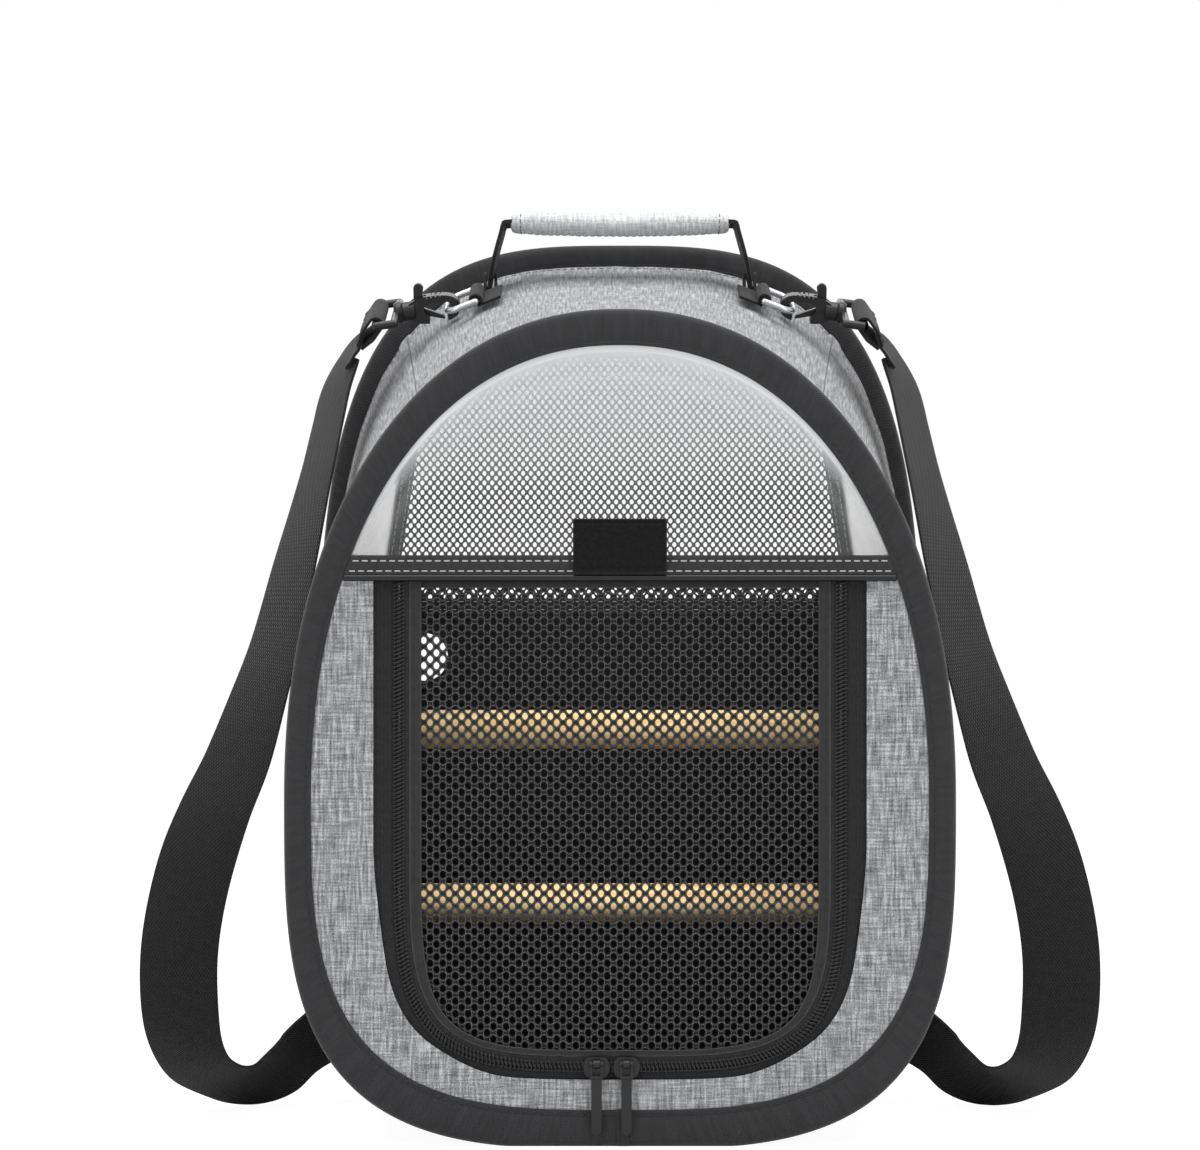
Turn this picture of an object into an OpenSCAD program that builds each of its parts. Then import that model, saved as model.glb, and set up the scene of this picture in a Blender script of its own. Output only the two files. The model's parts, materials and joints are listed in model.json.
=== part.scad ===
// Bird travel carrier. A soft cabin is stretched between two sprung hoops, with a net door
// on a coil zip, a clear window, two wooden perches, a padded carry handle and a pair of
// shoulder straps on swivel snap hooks.
// X points to the carrier's right, Y to its back and Z up. The origin is the centre of the base.

/* [Cabin] */
// Depth over the outer faces of both hoop bindings
cabin_depth = 190; // [170:5:220]
// Half width of the front hoop
front_half = 165; // [158:1:172]
// Height of the front hoop
front_top = 411; // [405:1:420]
// Half width of the back hoop
back_half = 165; // [160:1:172]
// Height of the back hoop
back_top = 464; // [458:1:472]
// Thickness of the gusset and panel cloth
cloth = 1.6; // [1.2:0.1:2]

/* [Hoop bindings] */
// Width of the binding at the top of the front hoop
bind_top = 18; // [15:0.5:20]
// Width of the binding at the sides of the hoops
bind_side = 13.5; // [12:0.5:15]
// Thickness of a binding, front to back
bind_thick = 7; // [6.5:0.5:9]
// Thickness of the binding tape
bind_tape = 1.2; // [1:0.1:1.4]
// Diameter of the hoop wire
wire_d = 3.2; // [2.6:0.2:3.4]

/* [Door and window] */
// Height of the cross band's lower edge
band_low = 278; // [270:1:284]
// Width of the cross band
band_w = 12; // [10:0.5:16]
// Half width of the door opening in the front panel
opening_half = 121; // [118:0.5:124]
// Height of the door opening's lower edge
opening_low = 32.8; // [32:0.2:33.2]
// Half width of the door on the zip's centre line
zip_half = 108.4; // [106:0.2:110]
// Height of the zip's centre line at the bottom
zip_low = 39; // [38.8:0.1:40]
// Distance from one zip tooth to the next
zip_pitch = 6; // [5:0.5:8]
// Width of the door's binding
door_bind = 7; // [6:0.5:9]
// Width of the hook and loop tab
tab_w = 46; // [36:1:56]
// Height of the hook and loop tab
tab_h = 26; // [20:1:32]

/* [Nets and port] */
// Distance between two holes of the door net
door_pitch = 13.5; // [13.5:0.5:18]
// Distance between two holes of the back net
back_pitch = 11.5; // [11.5:0.5:16]
// Width of a net's threads
net_thread = 2.6; // [2:0.2:3.6]
// Thickness of the nets
net_thick = 0.8; // [0.6:0.1:1.2]
// Radius of the port in the back panel
port_r = 13; // [10:0.5:15]

/* [Perches] */
// Diameter of a perch
perch_d = 20; // [15:1:24]
// Height of the upper perch
perch_high = 202; // [190:1:215]
// Height of the lower perch
perch_low = 112; // [100:1:125]

/* [Handle] */
// Half length of the padded sleeve
sleeve_half = 59; // [50:1:62]
// Depth of the padded sleeve
sleeve_depth = 30; // [26:1:34]
// Height of the padded sleeve's section
sleeve_h = 13.5; // [11:0.5:14]
// Height of the grip over its pivot
grip_rise = 31; // [28:1:36]
// Width of the handle webbing
handle_web = 24; // [18:1:25]

/* [Snap hooks] */
// Distance of a D-ring's bar from the middle of the carrier
ring_x = 76; // [75:0.5:80]
// Inner width of a D-ring
ring_w = 26; // [22:1:28]
// Depth of a D-ring
ring_reach = 16; // [15:0.5:18]
// Diameter of a D-ring's wire
ring_d = 3.5; // [3:0.1:3.8]
// Thickness of a hook's body
hook_thick = 7; // [6:0.5:8]
// Inner width of a swivel eye
eye_w = 41; // [41:1:44]

/* [Straps] */
// Width of the shoulder webbing
strap_w = 40; // [36:1:40]
// Thickness of the shoulder webbing
strap_t = 2; // [1.5:0.1:2.4]

/* [Hidden] */
$fn = 32;

black = [0.16, 0.16, 0.16];
soft_black = [0.2, 0.2, 0.2];
heather = [0.62, 0.62, 0.63];
plastic = [0.1, 0.1, 0.11];
steel = [0.7, 0.7, 0.72];
wood = [0.86, 0.74, 0.54];
clear = [0.85, 0.88, 0.9, 0.35];

gap = 0.3;       // clearance between pieces that move past each other
seat = 0.1;      // clearance between pieces that are sewn together
turns = 96;      // stations round a hoop
foot_dip = 1.5;  // how far a hoop's curve would reach under the floor: its foot is cut flat

// An outline is [half width, height of its widest line, top, bottom, roundness over the
// widest line, roundness under it]. Both halves are superellipses.
front_mid = 170;
back_mid = 190;
front_outer = [front_half, front_mid, front_top, -foot_dip, 2.17, 3.3];
front_inner = [front_half - bind_side, front_mid, front_top - bind_top, bind_top, 2.17, 3.2];
back_outer = [back_half, back_mid, back_top, -foot_dip, 3.15, 7];
back_inner = [back_half - bind_side, back_mid, back_top - bind_side, bind_side, 3.1, 6.5];

front_y = -cabin_depth / 2;
back_y = cabin_depth / 2;
panel_y = front_y + bind_tape + seat;             // front face of the front panel
tape_y = panel_y + cloth + seat;                  // front face of the zip tapes
tape_t = 0.8;
teeth_t = 1.5;
teeth_y = tape_y - teeth_t;
net_y = tape_y + tape_t + seat;                   // front face of the door net
back_panel_y = back_y - bind_tape - seat - cloth; // inner face of the back panel
gusset_front = front_y + bind_thick;
gusset_back = back_y - bind_thick;
lining_t = 3;
lining_edge = 1.6;    // from the lining's edge to the back binding

function lerp(a, b, s) = a + (b - a) * s;
function inset(o, d) = [o[0] - d, o[1], o[2] - d, o[3] + d, o[4], o[5]];
function egg_r(o, t) =
    let (b = sin(t) >= 0 ? o[2] - o[1] : o[1] - o[3], n = sin(t) >= 0 ? o[4] : o[5])
    1 / pow(pow(abs(cos(t)) / o[0], n) + pow(abs(sin(t)) / b, n), 1 / n);
function egg(o, t) = [egg_r(o, t) * cos(t), o[1] + egg_r(o, t) * sin(t)];
function egg_x(o, z) =
    let (b = z >= o[1] ? o[2] - o[1] : o[1] - o[3], n = z >= o[1] ? o[4] : o[5])
    o[0] * pow(max(0, 1 - pow(abs(z - o[1]) / b, n)), 1 / n);
function egg_z(o, x) = o[1] + (o[2] - o[1]) * pow(max(0, 1 - pow(abs(x) / o[0], o[4])), 1 / o[4]);
function egg_points(o, n = turns) = [for (i = [0 : n - 1]) egg(o, 360 * i / n)];
function floor_cut(p) = [p[0], max(p[1], 0)];

// The gusset's outline at depth y: it passes from the front hoop to the back hoop and
// sags a little between them.
gusset_sag = 2.5;
gusset_front_lip = 7;
front_seam = inset(front_outer, gusset_front_lip);
back_seam_out = 6;      // how far outside the back hoop's inner edge the side cloth meets it
back_seam = [back_inner[0] + back_seam_out, back_inner[1], back_inner[2] + 2, back_inner[3] - 2,
    back_inner[4], back_inner[5]];
function depth_share(y) = (y - gusset_front) / (gusset_back - gusset_front);
function seam_at(y) =
    let (s = depth_share(y), sag = gusset_sag * 4 * s * (1 - s))
    inset(lerp(front_seam, back_seam, s), sag);
function wall_x(y, z) = egg_x(seam_at(y), z);
function wall_z(y, x) = egg_z(seam_at(y), x);

// The opening and the zip line have straight sides over door_mid and round corners under it.
door_mid = 150;
opening = [opening_half, door_mid, band_low + 60, opening_low, 8, 4];
zip_line = [zip_half, door_mid, band_low + 60, zip_low, 8, 4];
teeth_w = 3.6;       // from the zip's centre line to a row's outer edge
bind_from = teeth_w + 1.6;
net_edge = [zip_half - bind_from - door_bind + 1.3, door_mid, band_low + 60, zip_low + 7.7, 8, 4];
door_top = band_low - gap;

// Points of a U-shaped line, from the top of its left side round to the top of its right side.
function u_line(o, top, n) = concat(
    [[-o[0], top]],
    [for (i = [0 : n]) egg(o, 180 + 180 * i / n)],
    [[o[0], top]]);

module upright(y, t) translate([0, y + t, 0]) rotate([90, 0, 0]) linear_extrude(t) children();

// A closed skin over a list of rings, all with the same number of points.
function ring_faces(m, n, wrap) = [
    for (i = [0 : wrap ? m - 1 : m - 2], j = [0 : n - 1])
        let (a = i * n + j, b = i * n + (j + 1) % n,
             c = ((i + 1) % m) * n + (j + 1) % n, d = ((i + 1) % m) * n + j)
        each [[a, b, c], [a, c, d]]];
function end_faces(m, n) = concat(
    [for (j = [1 : n - 2]) [0, j + 1, j]],
    [for (j = [1 : n - 2]) let (o = (m - 1) * n) [o, o + j, o + j + 1]]);
module skin(rings, wrap = false) {
    m = len(rings);
    n = len(rings[0]);
    points = [for (r = rings) each r];
    polyhedron(points, wrap ? ring_faces(m, n, true) : concat(ring_faces(m, n, false), end_faces(m, n)));
}

function unit(v) = v / norm(v);

// ---- Hoops and bindings ----

wire_seat = bind_tape + wire_d / 2 + seat;   // wire's distance from the binding's outer edge

// Each profile point is [share of the band's width, distance from it, depth]. The tape is
// folded round the wire and its two legs hold the cloth.
function fold_profile() =
    let (b = bind_thick, t = bind_tape, r = 2.2)
    [[0, r, 0], [0, 0.6, 0.6], [0, 0, r], [0, 0, b - r], [0, 0.6, b - 0.6], [0, r, b], [1, 0, b],
     [1, 0, b - t], [0, t + 0.8, b - t], [0, t, b - t - 0.8], [0, t, t + 0.8], [0, t + 0.8, t],
     [1, 0, t], [1, 0, 0]];

function band_point(outer, inner, t, y0, p) =
    let (a = floor_cut(egg(outer, t)), b = egg(inner, t), w = norm(b - a),
         q = a + (b - a) * (p[0] + p[1] / w))
    [q[0], y0 + p[2], q[1]];

module binding(outer, inner, y0)
    skin([for (i = [0 : turns - 1]) [for (p = fold_profile())
        band_point(outer, inner, 360 * i / turns, y0, p)]], true);

wire_sides = 6;
module hoop_wire(outer, inner, y0)
    skin([for (i = [0 : 1.5 : turns - 1]) [for (k = [0 : wire_sides - 1])
        band_point(outer, inner, 360 * i / turns, y0,
            [0, wire_seat + wire_d / 2 * cos(360 * k / wire_sides),
             bind_thick / 2 - wire_d / 2 * sin(360 * k / wire_sides)])]], true);

module front_hoop_wire() color(steel) hoop_wire(front_outer, front_inner, front_y);
module back_hoop_wire() color(steel) hoop_wire(back_outer, back_inner, back_y - bind_thick);
module front_binding() color(black) binding(front_outer, front_inner, front_y);
module back_binding() color(black) binding(back_outer, back_inner, back_y - bind_thick);

// ---- Gusset ----

top_seam_angle = 62;     // direction of the seams at the ends of the top gusset
base_seam_angle = -52;   // direction of the seams at the ends of the base panel
gusset_rings = 4;

// One cloth panel of the gusset, between two directions as seen from the front.
module gusset(t0, t1, steps) {
    ys = [for (k = [0 : gusset_rings]) lerp(gusset_front, gusset_back, k / gusset_rings)];
    rings = [for (i = [0 : steps])
        let (t = lerp(t0, t1, i / steps))
        concat([for (y = ys) let (p = egg(seam_at(y), t)) [p[0], y, p[1]]],
               [for (k = [gusset_rings : -1 : 0])
                   let (p = egg(inset(seam_at(ys[k]), cloth), t)) [p[0], ys[k], p[1]]])];
    m = len(rings);
    n = len(rings[0]);
    half = gusset_rings + 1;
    caps = [for (k = [0 : gusset_rings - 1])
        let (a = k, b = k + 1, c = n - 2 - k, d = n - 1 - k, o = (m - 1) * n)
        each [[a, c, b], [a, d, c], [o + a, o + b, o + c], [o + a, o + c, o + d]]];
    polyhedron([for (r = rings) each r], concat(ring_faces(m, n, false), caps));
}

module gusset_top() color(heather) gusset(top_seam_angle, 180 - top_seam_angle, 16);
module gusset_right() color(heather) gusset(base_seam_angle, top_seam_angle, 28);
module gusset_left() color(heather) gusset(180 - top_seam_angle, 180 - base_seam_angle, 28);
module base_panel() color(soft_black) gusset(180 - base_seam_angle, 360 + base_seam_angle, 20);

board_t = 3;
board_lift = 3;      // over the base panel's inner face at its highest line
board_z = max(front_seam[3], back_seam[3]) + cloth + board_lift;
module base_board() {
    ys = [for (k = [0 : 6]) lerp(gusset_front + 1, gusset_back - lining_t - 1, k / 6)];
    edge = [for (y = ys) [egg_x(inset(seam_at(y), cloth), board_z) - 1, y]];
    color(soft_black) translate([0, 0, board_z]) linear_extrude(board_t)
        polygon(concat(edge, [for (k = [len(edge) - 1 : -1 : 0]) [-edge[k][0], edge[k][1]]]));
}

// ---- Front ----

panel_lap = 6;   // how far a panel runs under the binding
front_cut = inset(front_inner, -panel_lap);
band_split = band_low + band_w / 2;

module half_plane(z, up) translate([-300, up ? z : z - 600]) square([600, 600]);

// The panel is cut in three: a foot under the zip's level stretch and the two sides.
panel_foot_half = 46;
panel_joint = 0.1;
module front_panel() color(heather) upright(panel_y, cloth)
    difference() {
        polygon(egg_points(front_cut));
        half_plane(band_split, true);
        polygon(concat(u_line(opening, band_low + 1, 48)));
        for (s = [-1, 1]) translate([s * panel_foot_half - panel_joint / 2, 0]) square([panel_joint, door_mid]);
    }

pane_t = 0.8;
module window_pane() color(clear) upright(panel_y, pane_t)
    intersection() {
        polygon(egg_points(front_cut));
        half_plane(band_split + seat, true);
    }

band_t = bind_tape;
module cross_band() color(black) upright(front_y, band_t)
    intersection() {
        polygon(egg_points(inset(front_inner, seat)));
        translate([-300, band_low]) square([600, band_w]);
    }

tab_t = 2.4;
tab_lift = 3.8; // from the band's lower edge to the tab's
module closure_tab() color(soft_black) upright(front_y - tab_t - seat, tab_t)
    translate([-tab_w / 2, band_low + tab_lift]) square([tab_w, tab_h]);

// ---- Zip ----

// Points on the zip line at even distances: down the left side, round and up the right side.
function zip_speed(t) = norm(egg(zip_line, t + 0.5) - egg(zip_line, t - 0.5));
half_pitch = zip_pitch / 2;
side_steps = floor((door_top - 1 - door_mid) / half_pitch);
zip_turns = [for (t = 180; t < 360; t = t + half_pitch / zip_speed(t)) t];
zip_points = concat(
    [for (k = [side_steps : -1 : 1]) [-zip_half, door_mid + k * half_pitch]],
    [for (t = zip_turns) egg(zip_line, t)],
    [for (k = [0 : side_steps]) [zip_half, door_mid + k * half_pitch]]);
function zip_normal(i) =
    let (a = zip_points[max(i - 1, 0)], b = zip_points[min(i + 1, len(zip_points) - 1)],
         d = unit(b - a))
    [d[1], -d[0]];

tooth_in = 0.9;     // how far a tooth reaches past the centre line
plain_top = 18;     // the rows don't mesh in this stretch under the hinge, so that the door can fold
// One row of teeth: a strip whose inner edge goes in and out, so that both rows mesh.
module teeth(side) {
    rings = [for (i = [0 : len(zip_points) - 1])
        let (p = zip_points[i], n = zip_normal(i) * side,
             reach = p[1] > door_top - plain_top ? gap
                 : (i % 2 == (side > 0 ? 1 : 0)) ? -tooth_in : tooth_in + gap,
             a = p + n * teeth_w, b = p + n * reach)
        side > 0
            ? [[a[0], teeth_y, a[1]], [b[0], teeth_y, b[1]],
               [b[0], teeth_y + teeth_t, b[1]], [a[0], teeth_y + teeth_t, a[1]]]
            : [[b[0], teeth_y, b[1]], [a[0], teeth_y, a[1]],
               [a[0], teeth_y + teeth_t, a[1]], [b[0], teeth_y + teeth_t, b[1]]]];
    skin(rings);
}

module tape_shape(out, inn) difference() {
    polygon([for (i = [0 : len(zip_points) - 1]) zip_points[i] + zip_normal(i) * out]);
    polygon(concat([[-zip_half, door_top + 20]],
        [for (i = [0 : len(zip_points) - 1]) zip_points[i] + zip_normal(i) * inn],
        [[zip_half, door_top + 20]]));
}
tape_gap = tooth_in + gap;
tape_w = 17;
module zip_tape() color(black) upright(tape_y, tape_t) tape_shape(tape_w, tape_gap);
module zip_teeth_outer() color(plastic) teeth(1);
module zip_teeth_inner() color(plastic) teeth(-1);

// ---- Door ----

// A flat net: a plate with staggered six-sided holes wherever a whole hole fits.
module net(o, top, low, pitch, edge) {
    row = pitch * 0.75;
    r = (pitch - net_thread) / 2;
    keep = inset(o, r + edge);
    rows = ceil((top - low) / row);
    cols = ceil(o[0] / pitch) + 1;
    difference() {
        children();
        for (k = [0 : rows], c = [-cols : cols])
            let (x = (c + (k % 2) / 2) * pitch, z = low + edge + r + k * row)
            if (z < top - edge - r && abs(x) < egg_x(keep, z))
                translate([x, z]) rotate(30) circle(r, $fn = 6);
    }
}

module door_net() color(soft_black) upright(net_y, net_thick)
    net(net_edge, door_top, net_edge[3], door_pitch, 1)
        polygon(u_line(inset(net_edge, -5), door_top, 48));

door_bind_y = teeth_y + 0.2;
module door_binding() color(black) {
    upright(tape_y, tape_t) tape_shape(-tape_gap, -9);
    upright(door_bind_y, tape_y + tape_t - door_bind_y) difference() {
        polygon(u_line(inset(zip_line, bind_from), door_top, 48));
        polygon(u_line(net_edge, door_top - door_bind, 48));
    }
}

// ---- Zip sliders and pulls ----

slider_x = [-11.5, 3.2];     // places of the two sliders, left and right
slider_len = 13;
flange_t = 0.8;
flange_gap = 0.6;
slider_h = 2 * (teeth_w + flange_gap + flange_t);
plate_t = 1.3;
plate_y = teeth_y - gap - plate_t;
crown_r = 2.2;
pin_r = 0.9;
crown_y = plate_y - crown_r + 0.4;
pivot_z = zip_low + slider_h / 2 - crown_r - 1;

// Front plate with two flanges that hug the rows of teeth, and a crown for the pull's pin.
module slider(x) translate([x, 0, 0]) color(plastic) {
    upright(plate_y, plate_t) translate([0, zip_low]) intersection() {
        square([slider_len, slider_h], center = true);
        circle(slider_len / 2);
    }
    upright(plate_y, tape_y - 2 * seat - plate_y) translate([0, zip_low])
        for (s = [-1, 1]) translate([0, s * (slider_h - flange_t) / 2])
            square([slider_len - 6, flange_t], center = true);
    difference() {
        union() {
            translate([0, crown_y, pivot_z]) rotate([0, 90, 0])
                cylinder(h = 3, r = crown_r, center = true);
            translate([-1.5, crown_y, pivot_z - crown_r]) cube([3, plate_y - crown_y + 0.1, 2 * crown_r]);
        }
        translate([0, crown_y, pivot_z]) rotate([0, 90, 0])
            cylinder(h = 4, r = pin_r + gap, center = true);
    }
}

module slider_left() slider(slider_x[0]);
module slider_right() slider(slider_x[1]);
pull_len = 27;
pull_w = 5;
pull_t = 2.6;

module pull(x) translate([x, crown_y, pivot_z]) {
    color(steel) {
        rotate([0, 90, 0]) cylinder(h = 4.6, r = pin_r, center = true);
        for (s = [-1, 1]) translate([s * 2.6, 0, 0]) {
            rotate([0, 90, 0]) cylinder(h = 1.2, r = 1.5, center = true);
            translate([0, 0, -3.5]) cube([1.2, 1.6, 7], center = true);
        }
        translate([0, 0, -6.6]) cube([6.4, 1.6, 2], center = true);
    }
    color(plastic) translate([0, pull_t / 2, -7.6]) rotate([90, 0, 0]) linear_extrude(pull_t)
        union() {
            translate([-pull_w / 2, -pull_len + pull_w / 2]) square([pull_w, pull_len - pull_w / 2]);
            translate([0, -pull_len + pull_w / 2]) circle(pull_w / 2);
        }
}
module pull_left() pull(slider_x[0]);
module pull_right() pull(slider_x[1]);

// ---- Back ----

back_cut = inset(back_inner, -panel_lap);
window_low = 266;
window_gap = 24;     // cloth left between the window and the back binding
window_edge = inset(back_inner, window_gap);
window_half_low = 128;   // half width of the window at its lower edge
window_half_high = 112;  // half width of the window where its top corners begin
window_high = 375;
window_top = back_inner[2] - window_gap + 6;
window_bind = 8;
net_lap = 2.5;

// A four-sided window with an arched top and slanting sides, drawn m smaller all round.
function window_points(m) = concat(
    [[-window_half_low + m, window_low + m], [window_half_low - m, window_low + m],
     [window_half_high - m, window_high]],
    [for (k = [1 : 15]) let (t = 180 * k / 16, w = window_half_high - m)
        [w * cos(t), window_high + (window_top - m - window_high) * pow(sin(t), 0.8)]],
    [[-window_half_high + m, window_high]]);

port_pos = [-107, 239];
port_flange = 4.5;
port_wall = 1.6;

module port_hole(r) translate(port_pos) circle(r, $fn = 48);

module back_panel() color(heather) upright(back_panel_y, cloth)
    difference() {
        polygon(egg_points(back_cut));
        polygon(window_points(0));
        port_hole(port_r + port_wall + seat);
    }

module back_net() color(soft_black) upright(back_panel_y - seat - net_thick, net_thick)
    difference() {
        polygon(window_points(-net_lap));
        for (k = [0 : ceil((window_top - window_low) / (back_pitch * 0.75))], c = [-12 : 12])
            let (r = (back_pitch - net_thread) / 2, x = (c + (k % 2) / 2) * back_pitch,
                 z = window_low + window_bind + r + k * back_pitch * 0.75,
                 w = z < window_high
                     ? lerp(window_half_low, window_half_high, (z - window_low) / (window_high - window_low))
                     : window_half_high * sqrt(max(0, 1 - pow((z - window_high) / (window_top - window_high), 2))))
            if (abs(x) < w - window_bind - r && z < window_top - window_bind - r)
                translate([x, z]) rotate(30) circle(r, $fn = 6);
    }

bind_lap_y = back_panel_y - 2 * seat - net_thick - bind_tape;
module back_window_binding() color(black) upright(bind_lap_y, bind_tape)
    difference() {
        polygon(window_points(-3));
        polygon(window_points(window_bind - 3));
    }

lining_top = window_low - 3 - seat;
module back_lining() color(soft_black) upright(back_panel_y - seat - lining_t, lining_t)
    difference() {
        intersection() {
            polygon(egg_points(inset(back_inner, lining_edge)));
            half_plane(lining_top, false);
        }
        port_hole(port_r + port_wall + seat);
    }

// Two flanges on a tube that goes through the back panel and its lining.
module port_eyelet() color(plastic) {
    inner_y = back_panel_y - seat - lining_t;
    outer_y = back_panel_y + cloth;
    translate([port_pos[0], inner_y - port_wall - seat, port_pos[1]]) rotate([-90, 0, 0])
        rotate_extrude($fn = 48) polygon([
            [port_r, 0], [port_r + port_flange, 0], [port_r + port_flange, port_wall],
            [port_r + port_wall, port_wall], [port_r + port_wall, outer_y - inner_y + port_wall + 2 * seat],
            [port_r + port_flange, outer_y - inner_y + port_wall + 2 * seat],
            [port_r + port_flange, outer_y - inner_y + 2 * port_wall + 2 * seat],
            [port_r, outer_y - inner_y + 2 * port_wall + 2 * seat]]);
}

// ---- Perches ----

perch_y = 0;
washer_r = 9;
washer_t = 1.2;
screw_r = 1.6;
screw_len = 22;
head_r = 4;
head_h = 2;
washer_gap = 0.2;    // from a flat washer to the curved side cloth
function wall_round(z) = [for (a = [0 : 45 : 315])
    wall_x(perch_y + washer_r * cos(a), z + washer_r * sin(a))];
function perch_end(z) = min(wall_round(z)) - cloth - washer_gap - washer_t;
function washer_out(z) = max(concat([wall_x(perch_y, z)], wall_round(z))) + washer_gap;

module perch(z) color(wood) translate([0, perch_y, z]) rotate([0, 90, 0])
    difference() {
        union() {
            cylinder(h = 2 * (perch_end(z) - 1), d = perch_d, center = true, $fn = 48);
            cylinder(h = 2 * perch_end(z) - 2 * seat, d = perch_d - 2, center = true, $fn = 48);
        }
        for (s = [-1, 1]) translate([0, 0, s * perch_end(z)]) cylinder(h = 2 * screw_len - 8, r = screw_r, center = true);
    }
module perch_upper() perch(perch_high);
module perch_lower() perch(perch_low);

module at_perch_ends() for (z = [perch_high, perch_low], s = [-1, 1])
    translate([0, perch_y, z]) rotate([0, s * 90, 0]) { $z = z; children(); }
module perch_washers() color(steel) at_perch_ends() difference() {
    union() {
        translate([0, 0, perch_end($z)]) cylinder(h = washer_t, r = washer_r);
        translate([0, 0, washer_out($z)]) cylinder(h = washer_t, r = washer_r);
    }
    cylinder(h = 2 * front_half, r = screw_r + seat);
}
module perch_screws() color(steel) at_perch_ends() {
    top = washer_out($z) + washer_t;
    translate([0, 0, top - screw_len]) cylinder(h = screw_len + 0.5, r = screw_r);
    translate([0, 0, top]) rotate_extrude()
        polygon([[0, 0], [head_r, 0], [head_r, head_h / 2], [head_r * 0.7, head_h], [0, head_h]]);
}

// ---- Handle ----

handle_y = 55;
foot_x = 70;
foot_lift = 7;
pivot_h = wall_z(handle_y, foot_x) + foot_lift;
grip_z = pivot_h + grip_rise;
web_t = 2.4;
leg_x = sleeve_half + 3;      // half length of the straight top
foot_r = 5;
ear_t = 1.4;
bend_r = 5;

// Side line of the handle webbing from one foot over the grip to the other.
module handle_line() {
    lean = atan2(foot_x - leg_x, grip_rise);
    leg = norm([foot_x - leg_x, grip_rise]);
    translate([-leg_x, grip_z - web_t / 2]) square([2 * leg_x, web_t]);
    for (s = [-1, 1]) translate([s * leg_x, grip_z]) rotate(s * lean) {
        translate([-web_t / 2, -leg]) square([web_t, leg]);
        circle(web_t / 2);
    }
}
// Width of the webbing seen from the side: it narrows to its folded foot.
module handle_width() {
    translate([handle_y, pivot_h]) circle(foot_r);
    polygon([[handle_y - foot_r, pivot_h], [handle_y + foot_r, pivot_h],
        [handle_y + handle_web / 2, pivot_h + 14], [handle_y + handle_web / 2, grip_z + 10],
        [handle_y - handle_web / 2, grip_z + 10], [handle_y - handle_web / 2, pivot_h + 14]]);
}
module handle_webbing() color(black) intersection() {
    upright(handle_y - handle_web, 2 * handle_web) handle_line();
    translate([-foot_x - 10, 0, 0]) rotate([90, 0, 90]) linear_extrude(2 * foot_x + 20) handle_width();
}

// Padded sleeve: its section swells between the ends and its top dips a little in the middle.
sleeve_steps = 20;
sleeve_sides = 16;
sleeve_round = 3;
sleeve_slack = 0.3;
function sleeve_swell(s) = 1 - 0.28 * pow(abs(2 * s - 1), 6);
function sleeve_dip(s) = -0.9 * pow(sin(180 * s), 4);
function sleeve_ring(s) = [for (k = [0 : sleeve_sides - 1])
    let (t = 360 * k / sleeve_sides, q = sleeve_swell(s),
         r = 1 / pow(pow(abs(cos(t)), sleeve_round) + pow(abs(sin(t)), sleeve_round), 1 / sleeve_round))
    [lerp(-sleeve_half, sleeve_half, s), handle_y + sleeve_depth / 2 * r * cos(t) * lerp(1, q, 0.3),
     grip_z + sleeve_dip(s) + sleeve_h / 2 * r * sin(t) * q]];
module handle_sleeve() color(heather) difference() {
    skin([for (i = [0 : sleeve_steps]) sleeve_ring(i / sleeve_steps)]);
    translate([-sleeve_half - 1, handle_y - handle_web / 2 - sleeve_slack, grip_z - web_t / 2 - sleeve_slack])
        cube([2 * sleeve_half + 2, handle_web + 2 * sleeve_slack, web_t + 2 * sleeve_slack]);
}

// Folded cloth feet: two ears on each side of a handle's foot, on a patch of webbing.
module handle_feet() color(black) for (s = [0, 1]) mirror([s, 0, 0]) {
    inner = foot_x - web_t / 2 - gap - ear_t - foot_r * (foot_x - leg_x) / grip_rise;
    for (x = [inner, foot_x + web_t / 2 + gap])
        translate([x, 0, 0]) rotate([90, 0, 90]) linear_extrude(ear_t) union() {
            translate([handle_y, pivot_h]) circle(foot_r);
            polygon([[handle_y - foot_r, pivot_h], [handle_y + foot_r, pivot_h],
                [handle_y + foot_r + 3, wall_z(handle_y + foot_r + 3, x) + seat],
                [handle_y - foot_r - 3, wall_z(handle_y - foot_r - 3, x) + seat]]);
        }
}

// ---- Snap hooks ----

// The clips lie on the sloping shoulder. In the clip frame X points outwards, Y along the
// D-ring's bar and Z away from the cloth.
clip_y = 34;
ring_lift = 8;       // from the cloth to the D-ring's bar
clip_tilt = atan2(wall_z(clip_y + 20, ring_x) - wall_z(clip_y - 20, ring_x), 40);
clip_z = wall_z(clip_y, ring_x) + ring_lift;
ring_slope = 22;
hook_slope = 8;

module side(right) mirror([right ? 0 : 1, 0, 0]) children();
module clip_frame() translate([ring_x, clip_y, clip_z]) rotate([clip_tilt, 0, 0]) children();
// In the hook frame the origin is the D-ring's outer bar and X points along the hook.
module hook_frame() clip_frame() rotate([0, ring_slope, 0]) translate([ring_reach, 0, 0])
    rotate([0, hook_slope - ring_slope, 0]) children();

module rod_y(x, z, half, r) translate([x, 0, z]) rotate([90, 0, 0]) cylinder(h = 2 * half, r = r, center = true);

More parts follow.
